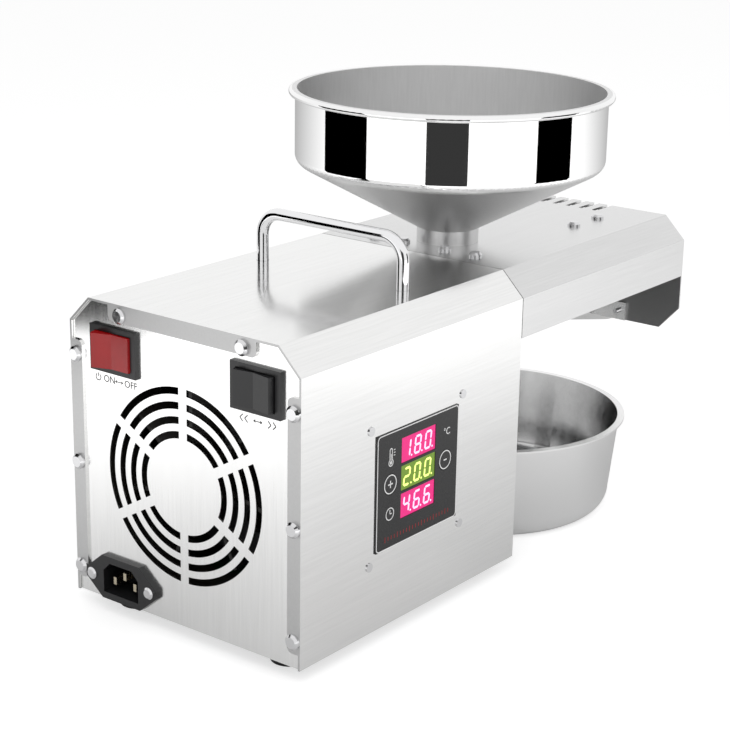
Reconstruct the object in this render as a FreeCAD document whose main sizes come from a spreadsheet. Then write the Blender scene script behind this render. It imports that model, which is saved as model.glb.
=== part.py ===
import FreeCAD, Part
import Sketcher
import math
import os

# A table-top screw oil press. The motor, the gearbox and the controls stand in a bent sheet housing;
# the press barrel sticks out of its front under a hood; the hopper stands on the hood and the oil
# runs into a bowl on the table.
#
# Frame: the origin is the centre of the four feet on the table. +X points along the press screw
# towards the cake outlet, +Z is up, and the display is on the -Y side. Lengths are millimetres.

V = FreeCAD.Vector
X_AXIS, Y_AXIS, Z_AXIS = V(1, 0, 0), V(0, 1, 0), V(0, 0, 1)

SIZES = {
    # housing
    "housing_length": 181, "housing_width": 150, "housing_height": 159.2, "bevel": 13.4,
    "cover_sheet": 1.2, "sheet_gap": 0.15, "corner_radius": 3,
    "flange_width": 8, "flange_low": 16, "flange_high": 144, "top_flange_half": 48, "top_flange_drop": 9.2,
    "front_sheet": 2.5, "front_step": 0.5, "base_sheet": 1.5, "base_flange": 12,
    # feet
    "feet_height": 8, "foot_radius": 11, "foot_taper": 1.5, "feet_inset": 20.5, "feet_spacing": 103,
    "foot_screw_radius": 2, "foot_head_radius": 4.2, "foot_head_height": 2.6, "foot_recess": 4,
    # air outlets in the base plate
    "outlet_length": 40, "outlet_width": 3.5, "outlet_pitch": 9, "outlet_rows": 6,
    # rear panel
    "slot_first_radius": 24.6, "slot_width": 3.7, "slot_pitch": 7.4, "slot_rings": 4, "spoke_width": 5.2,
    "screw_head_radius": 4, "screw_head_height": 2.4, "screw_radius": 1.5, "screw_length": 9,
    "screw_hole_gap": 0.1, "side_screw_inset": 4, "side_screw_middle": 79.5, "side_screw_step": 57,
    "top_screw_offset": 39.7, "top_screw_drop": 5.4,
    # carrying handle
    "handle_x": 23, "handle_half": 46.5, "handle_radius": 3.2, "handle_rise": 29.5, "handle_bend": 12,
    "handle_foot": 8, "handle_hole_gap": 0.15, "nut_radius": 5, "nut_height": 4,
    # rocker switches
    "power_switch_y": 44.7, "mode_switch_y": 47.9, "switch_height": 143, "bezel_width": 31, "bezel_height": 23.5,
    "bezel_depth": 2, "switch_body_width": 27.4, "switch_body_height": 20.4, "switch_body_depth": 20,
    "rocker_reach": 11.7, "rocker_height": 17.6, "rocker_gap": 0.4, "rocker_crest": 1.4, "rocker_back": 4,
    "rocker_angle": 10, "pivot_radius": 1.5, "rocker_well": 8,
    # mains inlet
    "inlet_offset": 42.3, "inlet_height": 20.8, "inlet_tip": 24.6, "inlet_half_height": 11.8,
    "inlet_corner": 13.2, "inlet_flange": 2.6, "inlet_body_width": 27.6, "inlet_body_height": 19.6,
    "inlet_body_depth": 22, "inlet_well_width": 24.4, "inlet_well_height": 16.4, "inlet_well_depth": 16,
    "inlet_well_key": 4.5, "inlet_wall": 0.2, "pin_width": 2, "pin_height": 4, "pin_length": 13,
    "pin_spacing": 7, "pin_rise": 2, "inlet_screw_offset": 20,
    # display
    "display_width": 67.3, "display_height": 60.7, "display_middle": 80, "display_thickness": 0.8,
    "display_margin": 4, "window_width": 28, "window_height": 12.9, "window_step": 14.6,
    "window_top": 98.3, "window_gap": 0.15, "module_depth": 9, "module_recess": 0.25,
    "key_offset": 22.9, "key_height": 83.4, "key_radius": 5.2, "key_gap": 0.3, "key_depth": 3,
    "key_travel": 0.4, "board_thickness": 1.6, "board_width": 84, "board_height": 78,
    "panel_screw_width": 76, "panel_screw_height": 70.5, "panel_screw_middle": 79.3,
    "panel_screw_head": 2.35, "panel_screw_proud": 0.6, "panel_screw_radius": 1.4, "spacer_radius": 3,
    # motor
    "motor_height": 82.5, "motor_radius": 46, "motor_wall": 2, "motor_end": 4, "motor_rear": 52,
    "motor_front": 26, "stator_bore": 29, "stator_length": 46, "air_gap": 0.6, "shaft_radius": 6,
    "journal_radius": 4, "pinion_bore": 2.8, "ball_radius": 11, "ball_width": 7, "ball_hub": 14, "coil_length": 8,
    "coil_inset": 2, "motor_port_radius": 6.5, "motor_port_circle": 29, "motor_ports": 6,
    "mount_sheet": 3, "mount_width": 100, "mount_foot": 18, "mount_top": 150,
    # cooling fan
    "fan_radius": 47, "fan_hub_radius": 17, "fan_depth": 14, "fan_blades": 7, "fan_blade": 1.8,
    "fan_pitch": 32, "fan_start": 9, "shroud_radius": 52, "shroud_wall": 1.6, "shroud_length": 24,
    # gear train
    "first_module": 0.8, "second_module": 1.25, "pinion_teeth": 12, "first_gear_teeth": 60,
    "output_gear_teeth": 48, "pressure_angle": 25, "backlash": 0.12,
    "first_face": 8, "second_face": 14, "gear_side_gap": 2.5,
    "case_wall": 7, "case_end": 7, "case_room": 2, "case_front": 14, "case_screw_radius": 2, "case_screw_grip": 30,
    "lay_radius": 5, "lay_ball_radius": 9.5, "lay_ball_width": 5, "running_gap": 0.03, "face_gap": 0.1,
    "output_tail_radius": 8, "output_tail_ball": 11, "tail_ball_width": 6, "thrust_radius": 12, "output_radius": 13, "output_ball_radius": 22,
    "output_ball_width": 9, "hex_socket_flats": 14, "hex_depth": 20, "hex_gap": 0.03,
    # press
    "press_height": 125, "barrel_radius": 24, "barrel_bore": 14.3, "barrel_length": 138,
    "barrel_flange_radius": 36, "barrel_flange": 8, "barrel_bolt_circle": 30, "barrel_bolt_radius": 3,
    "barrel_bolt_head": 5, "barrel_bolt_grip": 10, "feed_x": 126.5, "feed_radius": 13, "oil_slot_first": 148,
    "oil_slot_pitch": 5, "oil_slot_width": 1.6, "oil_slots": 9, "oil_slot_depth": 14,
    "screw_gap": 0.3, "auger_pitch": 20, "auger_land": 2.4, "auger_root_feed": 7.5, "auger_root_press": 11.8,
    "auger_start": 12, "auger_length": 132, "auger_tip_length": 22, "auger_tip_radius": 6,
    "collar_length": 10, "nose_radius": 17.8, "nose_length": 22, "nose_wall": 4, "nose_thread": 6,
    "cake_gap": 1.2, "heater_start": 207, "heater_length": 20, "heater_wall": 4.5, "heater_slit": 4,
    "heater_gap": 0.05, "ear_thickness": 3, "ear_reach": 9, "probe_radius": 2.5, "probe_seat": 4, "probe_x": 193, "probe_length": 12,
    # hood
    "hood_length": 172.5, "hood_drop": 35.3, "hood_end_chamfer": 12.8, "hood_end_low": 98,
    "hood_end_side": 112, "notch_half": 22.6, "notch_chamfer": 6, "vent_pitch": 9.2, "vent_width": 3.4,
    "vent_length": 19, "vents": 6, "vent_wrap": 9, "neck_hole": 15, "hood_screw_head": 3.7,
    "hood_rear_screw_x": 13.5, "hood_rear_screw_inner": 14.1, "hood_rear_screw_outer": 34.2,
    "hood_front_screw_rear": 202.2, "hood_front_screw_front": 228.1, "hood_front_screw_y": 35.7,
    "bracket_sheet": 2.5, "bracket_leg": 18, "bracket_drop": 14, "bracket_half": 44, "hanger_web": 4, "hanger_web_x": 200,
    "hanger_ring": 6, "hanger_plate_start": 195, "hanger_plate_length": 41, "hanger_web_half": 16,
    # hopper
    "hopper_radius": 85.5, "rim_roll": 1.75, "hopper_top": 251.5, "band_low": 212, "hopper_sheet": 1,
    "hopper_corner": 6, "cone_low": 175, "neck_radius": 17.2, "spigot_radius": 13.5, "spigot_low": 153,
    "neck_wall": 1.2, "throat_radius": 17, "throat_bore": 13.8,
    # cake chute
    "chute_radius": 20, "chute_wall": 1.5, "chute_start": 244, "chute_length": 59, "chute_slope": 12,
    "chute_axis_start": 115.5, "chute_ear_height": 11, "chute_ear_width": 11, "chute_screw_radius": 1.5,
    # bowl
    "bowl_x": 173.5, "bowl_radius": 77.5, "bowl_foot_radius": 73, "bowl_height": 56.5, "bowl_sheet": 1,
    "bowl_lip": 3, "bowl_corner": 12,
    # power board
    "power_board_x": -28, "power_board_length": 62, "power_board_width": 66, "power_board_height": 15.5,
    "relay_offset": 4, "relay_length": 19, "relay_width": 15, "relay_height": 15, "capacitor_radius": 6, "capacitor_length": 24,
}


class Size:
    """A value of the sheet, or one worked out from it: its number, and the expression that gives it."""

    def __init__(self, value, text):
        self.value = value
        self.text = text

    def __add__(self, other):
        other = as_size(other)
        return Size(self.value + other.value, f"({self.text} + {other.text})")

    def __sub__(self, other):
        other = as_size(other)
        return Size(self.value - other.value, f"({self.text} - {other.text})")

    def __mul__(self, other):
        other = as_size(other)
        return Size(self.value * other.value, f"({self.text} * {other.text})")

    def __truediv__(self, other):
        other = as_size(other)
        return Size(self.value / other.value, f"({self.text} / {other.text})")

    def __radd__(self, other):
        return as_size(other) + self

    def __rsub__(self, other):
        return as_size(other) - self

    def __rmul__(self, other):
        return as_size(other) * self

    def __neg__(self):
        return Size(-self.value, f"(0 - {self.text})")


def as_size(number):
    return number if isinstance(number, Size) else Size(float(number), f"({float(number)!r})")


def root(size):
    return Size(math.sqrt(size.value), f"sqrt({size.text})")


def tangent(degrees):
    degrees = as_size(degrees)
    return Size(math.tan(math.radians(degrees.value)), f"tan({degrees.text})")


class Sheet:
    """The spreadsheet of driving sizes; each is read as an attribute named as its alias."""

    def __init__(self, document, numbers):
        self.cells = document.addObject("Spreadsheet::Sheet", "Sizes")
        for row, (alias, number) in enumerate(numbers.items(), start=1):
            self.cells.set(f"A{row}", alias)
            self.cells.set(f"B{row}", str(number))
            self.cells.setAlias(f"B{row}", alias)
        document.recompute()

    def __getattr__(self, alias):
        return Size(float(self.cells.get(alias)), f"Sizes.{alias}")


doc = FreeCAD.newDocument("OilPress")
S = Sheet(doc, SIZES)
nodes = []

# Places that many pieces share.
rear = -S.housing_length / 2
front = S.housing_length / 2
half = S.housing_width / 2
underside = S.feet_height
top = S.feet_height + S.housing_height
panel_face = rear + S.cover_sheet
panel_back = panel_face + S.cover_sheet
hood_start = front + S.front_step
hood_end = hood_start + S.hood_length
side_face = -half


# ---------------------------------------------------------------------------------------------------
# Building helpers
# ---------------------------------------------------------------------------------------------------

def bind(thing, **values):
    """Ties properties to sizes; a double underscore in a name stands for a dot."""
    for name, value in values.items():
        thing.setExpression(name.replace("__", "."), as_size(value).text)
    return thing


def place(thing, at, along=Z_AXIS):
    """Puts a primitive's origin at a point, with its own Z turned to the given direction."""
    thing.Placement.Rotation = FreeCAD.Rotation(Z_AXIS, along)
    return bind(thing, Placement__Base__x=at[0], Placement__Base__y=at[1], Placement__Base__z=at[2])


def rod(radius, length, at, along=Z_AXIS):
    return place(bind(doc.addObject("Part::Cylinder", "Rod"), Radius=radius, Height=length), at, along)


def taper(radius_start, radius_end, length, at, along=Z_AXIS):
    cone = doc.addObject("Part::Cone", "Taper")
    return place(bind(cone, Radius1=radius_start, Radius2=radius_end, Height=length), at, along)


def block(low, high):
    box = doc.addObject("Part::Box", "Block")
    bind(box, Length=high[0] - low[0], Width=high[1] - low[1], Height=high[2] - low[2])
    return place(box, low)


def turned_block(size, centre, degrees, about=X_AXIS):
    """A block with its middle at a point, turned by an angle about an axis through it."""
    box = doc.addObject("Part::Box", "TurnedBlock")
    bind(box, Length=size[0], Width=size[1], Height=size[2])
    place(box, [c - s / 2 for c, s in zip(centre, size)])
    wrap = doc.addObject("Part::Compound", "Turned")
    wrap.Links = [box]
    rotation = FreeCAD.Rotation(about, degrees)
    wrap.Placement = FreeCAD.Placement(V(0, 0, 0), rotation, V(*[as_size(c).value for c in centre]))
    return wrap


def hexagon(flats, length, at, along):
    """A six-sided bar, its size measured across the flats."""
    bar = doc.addObject("Part::Prism", "Hexagon")
    bar.Polygon = 6
    return place(bind(bar, Circumradius=flats / root(as_size(3)), Height=length), at, along)


def fuse(*things):
    if len(things) == 1:
        return things[0]
    result = doc.addObject("Part::MultiFuse", "Fusion")
    result.Shapes = list(things)
    return result


def cut(base, *tools):
    result = doc.addObject("Part::Cut", "Cut")
    result.Base = base
    result.Tool = fuse(*tools)
    return result


def common(*things):
    result = doc.addObject("Part::MultiCommon", "Common")
    result.Shapes = list(things)
    return result


def tube(outer, inner, length, at, along=Z_AXIS):
    return cut(rod(outer, length, at, along), rod(inner, length, at, along))


def formed(name, shape, at):
    """A shape made with Part's own functions about the origin, then put in its place."""
    feature = doc.addObject("Part::Feature", name)
    feature.Shape = shape
    return place(feature, at)


def node(label, *things):
    """Names a finished sub-part. Several pieces given together stay separate solids of one node."""
    if len(things) > 1:
        result = doc.addObject("Part::Compound", "Group")
        result.Links = list(things)
    else:
        result = things[0]
    result.Label = label
    nodes.append(result)
    return result


# Sketches. A loop is a list of corners; a corner may carry the arc that leads to the next one.

class Arc:
    """A corner followed by an arc of the given radius; left is True where the arc turns left."""

    def __init__(self, corner, radius, left):
        self.corner = corner
        self.radius = radius
        self.left = left


class Circle:
    def __init__(self, centre, radius):
        self.centre = centre
        self.radius = radius


def arc_between(start, end, radius, left):
    """The shorter arc from start to end, turning left or right."""
    chord = end - start
    side = V(-chord.y, chord.x, 0).normalize() * (1 if left else -1)
    rise = math.sqrt(max(radius ** 2 - (chord.Length / 2) ** 2, 0))
    centre = (start + end) / 2 + side * rise
    crown = centre - side * radius
    return Part.Arc(start, crown, end) if left else Part.Arc(end, crown, start)


def fix_point(sketch, geometry, position, corner):
    """Ties one point of a sketch to its two coordinates."""
    for kind, value in zip(("DistanceX", "DistanceY"), corner):
        value = as_size(value)
        index = sketch.addConstraint(Sketcher.Constraint(kind, -1, 1, geometry, position, value.value))
        sketch.setExpression(f"Constraints[{index}]", value.text)


def fix_radius(sketch, geometry, radius):
    radius = as_size(radius)
    index = sketch.addConstraint(Sketcher.Constraint("Radius", geometry, radius.value))
    sketch.setExpression(f"Constraints[{index}]", radius.text)


def draw_loop(sketch, loop, closed=True):
    """Draws a chain of straight runs and arcs whose corners are all tied to sizes."""
    corners = [step.corner if isinstance(step, Arc) else step for step in loop]
    points = [V(as_size(u).value, as_size(v).value, 0) for u, v in corners]
    runs = []
    for i, step in enumerate(loop if closed else loop[:-1]):
        start, end = points[i], points[(i + 1) % len(points)]
        if isinstance(step, Arc):
            geometry = sketch.addGeometry(arc_between(start, end, as_size(step.radius).value, step.left), False)
            fix_radius(sketch, geometry, step.radius)
            runs.append((geometry, 1, 2) if step.left else (geometry, 2, 1))
        else:
            runs.append((sketch.addGeometry(Part.LineSegment(start, end), False), 1, 2))
    for i, (geometry, first, last) in enumerate(runs):
        fix_point(sketch, geometry, first, corners[i])
        if closed or i + 1 < len(runs):
            following = runs[(i + 1) % len(runs)]
            sketch.addConstraint(Sketcher.Constraint("Coincident", geometry, last, following[0], following[1]))
        else:
            fix_point(sketch, geometry, last, corners[-1])


def draw_circle(sketch, circle):
    centre = V(as_size(circle.centre[0]).value, as_size(circle.centre[1]).value, 0)
    geometry = sketch.addGeometry(Part.Circle(centre, Z_AXIS, as_size(circle.radius).value), False)
    fix_point(sketch, geometry, 3, circle.centre)
    fix_radius(sketch, geometry, circle.radius)


def sketch_on(body, plane, level, *loops, closed=True):
    """A sketch on a plane of the body's origin, moved along that plane's axis to a level."""
    sketch = body.newObject("Sketcher::SketchObject", "Sketch")
    support = [f for f in body.Origin.OriginFeatures if f.Role == plane + "_Plane"][0]
    sketch.AttachmentSupport = [(support, "")]
    sketch.MapMode = "FlatFace"
    bind(sketch, AttachmentOffset__Base__z=-level if plane == "XZ" else level)
    for loop in loops:
        if isinstance(loop, Circle):
            draw_circle(sketch, loop)
        else:
            draw_loop(sketch, loop, closed)
    return sketch


def new_body():
    return doc.addObject("PartDesign::Body", "Body")


def pad(body, sketch, length, reverse=False):
    feature = body.newObject("PartDesign::Pad", "Pad")
    feature.Profile = sketch
    feature.Reversed = reverse
    bind(feature, Length=length)
    doc.recompute()
    return feature


def pocket(body, sketch, depth, reverse=False):
    """Cuts against the sketch's own direction, or with it where reverse is set."""
    before = body.Shape.Volume
    feature = body.newObject("PartDesign::Pocket", "Pocket")
    feature.Profile = sketch
    feature.Reversed = reverse
    bind(feature, Length=depth)
    doc.recompute()
    if body.Shape.Volume >= before:
        raise RuntimeError("a pocket cuts nothing")
    return feature


def revolve(body, sketch):
    """Turns a sketch on the XZ plane about the body's own Z axis."""
    feature = body.newObject("PartDesign::Revolution", "Revolution")
    feature.Profile = sketch
    feature.ReferenceAxis = (sketch, ["V_Axis"])
    feature.Angle = 360
    doc.recompute()
    return feature


def rectangle(centre, width, height):
    u, v = centre
    return [(u - width / 2, v - height / 2), (u + width / 2, v - height / 2),
            (u + width / 2, v + height / 2), (u - width / 2, v + height / 2)]


def half_round(centre, radius, towards):
    """Two quarter arcs that go left round a half circle whose crown points in a direction."""
    (u, v), (du, dv) = centre, towards
    return [Arc((u + dv * radius, v - du * radius), radius, True), Arc((u + du * radius, v + dv * radius), radius, True),
            (u - dv * radius, v + du * radius)]


def gable(inset, foot):
    """The housing's outline in Y and Z, moved inwards by inset, open at its foot: left to right."""
    side = half - inset
    roof = top - inset
    shoulder = S.bevel + inset * tangent(22.5) - inset
    return [(-side, foot), (-side, roof - shoulder), (-side + shoulder, roof),
            (side - shoulder, roof), (side, roof - shoulder), (side, foot)]


def gable_shell(inset, sheet, foot):
    """The outline of a bent sheet that follows the housing's outline."""
    return gable(inset, foot) + gable(inset + sheet, foot)[::-1]


def mirrored(*offsets):
    return [sign * offset for offset in offsets for sign in (-1, 1)]


def pan_screw(at, along, head_radius, head_height, shank_radius, shank_length):
    """A pan-head screw whose head sits on the given point and whose shank runs the other way."""
    base = V(*[as_size(c).value for c in at])
    rim = rod(head_radius, head_height * 0.5, at, along)
    crown_at = [c + head_height * 0.5 * d for c, d in zip(at, along)]
    crown = taper(head_radius, head_radius * 0.7, head_height * 0.5, crown_at, along)
    shank = rod(shank_radius, shank_length, at, -along)
    return fuse(rim, crown, shank)


# ---------------------------------------------------------------------------------------------------
# Housing
# ---------------------------------------------------------------------------------------------------

def rear_screw_places():
    """The Y and Z of the screws round the rear panel."""
    sides = [(y, S.side_screw_middle + step * S.side_screw_step)
             for y in mirrored(half - S.side_screw_inset) for step in (-1, 0, 1)]
    return sides + [(y, top - S.top_screw_drop) for y in mirrored(S.top_screw_offset)]


def display_screw_places():
    """The X and Z of the small screws round the display."""
    return [(x, S.panel_screw_middle + z) for x in mirrored(S.panel_screw_width / 2)
            for z in mirrored(S.panel_screw_height / 2)]


def wrap_cover():
    """One sheet bent over the top and both sides, with flanges turned over the rear panel."""
    body = new_body()
    pad(body, sketch_on(body, "YZ", rear, gable_shell(0, S.cover_sheet, underside)), S.housing_length)
    for strip in (side_flange(-1), side_flange(1), top_flange()):
        pad(body, sketch_on(body, "YZ", rear, strip), S.cover_sheet)
    holes = [Circle(at, S.screw_radius + S.screw_hole_gap) for at in rear_screw_places()]
    pocket(body, sketch_on(body, "YZ", rear, *holes), S.cover_sheet, reverse=True)
    window = rectangle((as_size(0), S.display_middle), S.display_width - 2 * S.display_margin,
                       S.display_height - 2 * S.display_margin)
    holes = [Circle(at, S.panel_screw_radius + S.screw_hole_gap) for at in display_screw_places()]
    pocket(body, sketch_on(body, "XZ", side_face, window, *holes), S.cover_sheet * 2)
    holes = [Circle((S.handle_x, y), S.handle_radius + S.handle_hole_gap) for y in mirrored(S.handle_half)]
    pocket(body, sketch_on(body, "XY", top, *holes), S.cover_sheet * 2)
    return node("wrap_cover", body)


def side_flange(side):
    """Outline of one upright flange; its two free corners are rounded."""
    fold, free = side * half, side * (half - S.flange_width)
    low, high, bend = S.flange_low, S.flange_high, S.corner_radius
    left = side > 0
    return [(fold, low), (fold, high), Arc((free + side * bend, high), bend, left), (free, high - bend),
            Arc((free, low + bend), bend, left), (free + side * bend, low)]


def top_flange():
    """Outline of the flange under the roof; its two free corners are rounded."""
    reach, low, bend = S.top_flange_half, top - S.top_flange_drop, S.corner_radius
    return [(-reach, top), Arc((-reach, low + bend), bend, True), (bend - reach, low),
            Arc((reach - bend, low), bend, True), (reach, low + bend), (reach, top)]


def grille_cutter():
    """Rings cut through the rear panel, less the spokes that carry them."""
    start = panel_face - 1
    rings = []
    for ring in range(int(S.slot_rings.value)):
        inner = S.slot_first_radius + ring * S.slot_pitch
        rings.append(tube(inner + S.slot_width, inner, S.cover_sheet + 2, (start, 0, S.motor_height), X_AXIS))
    reach = 2 * (S.slot_first_radius + S.slot_rings * S.slot_pitch)
    centre = (panel_face + S.cover_sheet / 2, as_size(0), S.motor_height)
    spokes = [turned_spoke(centre, reach, degrees) for degrees in (90, 30, 150)]
    return cut(fuse(*rings), *spokes)


def turned_spoke(centre, reach, degrees):
    """One bar right across the grille, at an angle to the Y axis."""
    bar = doc.addObject("Part::Box", "Spoke")
    bind(bar, Length=S.cover_sheet + 4, Width=reach, Height=S.spoke_width)
    bind(bar, Placement__Base__x=-(S.cover_sheet + 4) / 2, Placement__Base__y=-reach / 2,
         Placement__Base__z=-S.spoke_width / 2)
    spoke = doc.addObject("Part::Compound", "TurnedSpoke")
    spoke.Links = [bar]
    spoke.Placement.Rotation = FreeCAD.Rotation(X_AXIS, degrees)
    return bind(spoke, Placement__Base__x=centre[0], Placement__Base__y=centre[1], Placement__Base__z=centre[2])


def rear_panel():
    """The plate behind the flanges, with the grille, two switch openings and the inlet's opening."""
    body = new_body()
    outline = gable(S.cover_sheet + S.sheet_gap, underside + S.sheet_gap)
    openings = [rectangle((y, S.switch_height), S.switch_body_width + 2 * S.inlet_wall,
                          S.switch_body_height + 2 * S.inlet_wall) for y in (S.power_switch_y, -S.mode_switch_y)]
    openings.append(rectangle((S.inlet_offset, S.inlet_height), S.inlet_body_width + 2 * S.inlet_wall,
                              S.inlet_body_height + 2 * S.inlet_wall))
    holes = [Circle(at, S.screw_radius + S.screw_hole_gap) for at in rear_screw_places()]
    holes += [Circle((S.inlet_offset + y, S.inlet_height), S.screw_radius + S.screw_hole_gap)
              for y in mirrored(S.inlet_screw_offset)]
    pad(body, sketch_on(body, "YZ", panel_face, outline, *openings, *holes), S.cover_sheet)
    return node("rear_panel", cut(body, grille_cutter()))


def rear_screws():
    screws = [pan_screw((rear, y, z), -X_AXIS, S.screw_head_radius, S.screw_head_height, S.screw_radius,
                        S.screw_length) for y, z in rear_screw_places()]
    return node("rear_screws", *screws)


def front_panel():
    """The stiff plate that the barrel flange and the gearbox are bolted to."""
    body = new_body()
    outline = gable(S.cover_sheet + S.sheet_gap, underside + S.base_sheet + S.sheet_gap)
    bore = Circle((0, S.press_height), S.barrel_bore + S.sheet_gap + S.screw_gap)
    bolts = [Circle(at, S.barrel_bolt_radius + S.screw_hole_gap) for at in barrel_bolt_places()]
    start = hood_start - S.front_sheet
    pad(body, sketch_on(body, "YZ", start, outline, bore, *bolts), S.front_sheet)
    return node("front_panel", body)


def base_plate():
    """A tray between the sides: it carries the feet, the motor mount and the power board."""
    side = half - S.cover_sheet - S.sheet_gap
    low, high = underside, underside + S.base_sheet
    lip = underside + S.base_flange
    start = panel_back + S.sheet_gap
    end = hood_start - S.front_sheet - S.sheet_gap
    profile = [(-side, low), (side, low), (side, lip), (side - S.base_sheet, lip), (side - S.base_sheet, high),
               (-side + S.base_sheet, high), (-side + S.base_sheet, lip), (-side, lip)]
    body = new_body()
    pad(body, sketch_on(body, "YZ", start, profile), end - start)
    holes = [Circle(at, S.foot_screw_radius + S.screw_hole_gap) for at in foot_places()]
    rows = int(S.outlet_rows.value)
    slots = [rectangle((S.outlet_pitch * (row - (rows - 1) / 2) + S.power_board_x, y), S.outlet_width,
                       S.outlet_length) for row in range(rows) for y in mirrored(S.outlet_length * 0.6)]
    pocket(body, sketch_on(body, "XY", low, *holes, *slots), S.base_sheet * 2, reverse=True)
    return node("base_plate", body)


def foot_places():
    return [(x, y) for x in mirrored(S.housing_length / 2 - S.feet_inset) for y in mirrored(S.feet_spacing / 2)]


def rubber_feet():
    """Four rubber feet, each turned down slightly towards the table and recessed for its screw."""
    feet = []
    for x, y in foot_places():
        straight = S.feet_height * 0.6
        lower = taper(S.foot_radius - S.foot_taper, S.foot_radius, S.feet_height - straight, (x, y, 0))
        upper = rod(S.foot_radius, straight, (x, y, S.feet_height - straight))
        bore = rod(S.foot_screw_radius + S.screw_hole_gap, S.feet_height, (x, y, 0))
        recess = rod(S.foot_head_radius + S.screw_hole_gap * 3, S.foot_recess, (x, y, 0))
        feet.append(cut(fuse(lower, upper), fuse(bore, recess)))
    return node("rubber_feet", *feet)


def foot_screws():
    screws = []
    for x, y in foot_places():
        head = rod(S.foot_head_radius, S.foot_head_height, (x, y, S.foot_recess - S.foot_head_height))
        shank = rod(S.foot_screw_radius, S.feet_height - S.foot_recess + S.base_sheet, (x, y, S.foot_recess))
        screws.append(fuse(head, shank))
    return node("foot_screws", *screws)


def handle_nuts():
    """A hexagonal nut under the roof on each end of the handle."""
    nuts = []
    for y in mirrored(S.handle_half):
        at = (S.handle_x, y, top - S.cover_sheet - S.nut_height)
        nuts.append(cut(hexagon(S.nut_radius * 2, S.nut_height, at, Z_AXIS),
                        rod(S.handle_radius, S.nut_height, at)))
    return node("handle_nuts", *nuts)


def carry_handle():
    """A round bar bent to a flat-topped bow; its feet pass through the top of the cover."""
    body = new_body()
    foot = top - S.handle_foot
    crown = top + S.handle_rise - S.handle_radius
    bend = S.handle_bend
    path = [(-S.handle_half, foot), Arc((-S.handle_half, crown - bend), bend, False),
            (-S.handle_half + bend, crown), Arc((S.handle_half - bend, crown), bend, False),
            (S.handle_half, crown - bend), (S.handle_half, foot)]
    spine = sketch_on(body, "YZ", S.handle_x, path, closed=False)
    section = sketch_on(body, "XY", foot, Circle((S.handle_x, -S.handle_half), S.handle_radius))
    sweep = body.newObject("PartDesign::AdditivePipe", "Bow")
    sweep.Profile = section
    sweep.Spine = spine
    doc.recompute()
    return node("carry_handle", body)


# ---------------------------------------------------------------------------------------------------
# Switches and mains inlet on the rear panel
# ---------------------------------------------------------------------------------------------------

def switch_case(label, offset):
    """A snap-in switch case: bezel outside the panel, body behind it, and a well for the rocker."""
    y, z = offset, S.switch_height
    bezel = block((panel_face - S.bezel_depth, y - S.bezel_width / 2, z - S.bezel_height / 2),
                  (panel_face, y + S.bezel_width / 2, z + S.bezel_height / 2))
    body = block((panel_face, y - S.switch_body_width / 2, z - S.switch_body_height / 2),
                 (panel_face + S.switch_body_depth, y + S.switch_body_width / 2, z + S.switch_body_height / 2))
    well_half = S.rocker_reach + S.rocker_gap
    well = block((panel_face - S.bezel_depth - 1, y - well_half, z - S.rocker_height / 2 - S.rocker_gap),
                 (panel_face + S.rocker_well, y + well_half, z + S.rocker_height / 2 + S.rocker_gap))
    pin_height = S.rocker_height + 2 * S.rocker_gap
    pin = rod(S.pivot_radius, pin_height, (panel_face, y, z - pin_height / 2))
    return node(label, fuse(cut(fuse(bezel, body), well), pin))


def rocker(label, offset, rest_angle):
    """A rocker with a shallow vee front, round ends and a bore on its pivot pin."""
    y, z = offset, S.switch_height
    height = S.rocker_height
    reach = S.rocker_reach
    crest = S.bezel_depth + S.rocker_crest
    rise = reach * tangent(S.rocker_angle)
    body = new_body()
    vee = [(-crest, 0), (-crest - rise, reach), (S.rocker_back, reach), (S.rocker_back, -reach),
           (-crest - rise, -reach)]
    pad(body, sketch_on(body, "XY", -height / 2, vee), height)
    drum = rod(reach + crest * 0.1, height, (0, 0, -height / 2))
    bore = rod(S.pivot_radius + S.screw_hole_gap, height, (0, 0, -height / 2))
    piece = cut(common(body, drum), bore)
    piece.Placement.Rotation = FreeCAD.Rotation(Z_AXIS, rest_angle)
    bind(piece, Placement__Base__x=panel_face, Placement__Base__y=y, Placement__Base__z=z)
    return node(label, piece)


def hexagonal_flange():
    """The inlet flange's outline in Y and Z: a lying hexagon with pointed ends."""
    y, z = S.inlet_offset, S.inlet_height
    tip, corner, tall = S.inlet_tip, S.inlet_corner, S.inlet_half_height
    blunt = tall * 0.2
    return [(y - tip, z - blunt), (y - corner, z - tall), (y + corner, z - tall), (y + tip, z - blunt),
            (y + tip, z + blunt), (y + corner, z + tall), (y - corner, z + tall), (y - tip, z + blunt)]


def inlet_socket():
    """The appliance inlet: flange, body and a keyed well, two of whose corners are cut off."""
    y, z = S.inlet_offset, S.inlet_height
    body = new_body()
    face = panel_face - S.inlet_flange
    pad(body, sketch_on(body, "YZ", face, hexagonal_flange()), S.inlet_flange)
    behind = rectangle((y, z), S.inlet_body_width, S.inlet_body_height)
    pad(body, sketch_on(body, "YZ", panel_face, behind), S.inlet_body_depth)
    wide, tall, key = S.inlet_well_width / 2, S.inlet_well_height / 2, S.inlet_well_key
    well = [(y - wide, z - tall), (y + wide, z - tall), (y + wide, z + tall - key), (y + wide - key, z + tall),
            (y - wide + key, z + tall), (y - wide, z + tall - key)]
    pocket(body, sketch_on(body, "YZ", face, well), S.inlet_well_depth, reverse=True)
    holes = [Circle((y + offset, z), S.screw_radius + S.screw_hole_gap)
             for offset in mirrored(S.inlet_screw_offset)]
    pocket(body, sketch_on(body, "YZ", face, *holes), S.inlet_flange, reverse=True)
    return node("inlet_socket", body)


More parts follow.
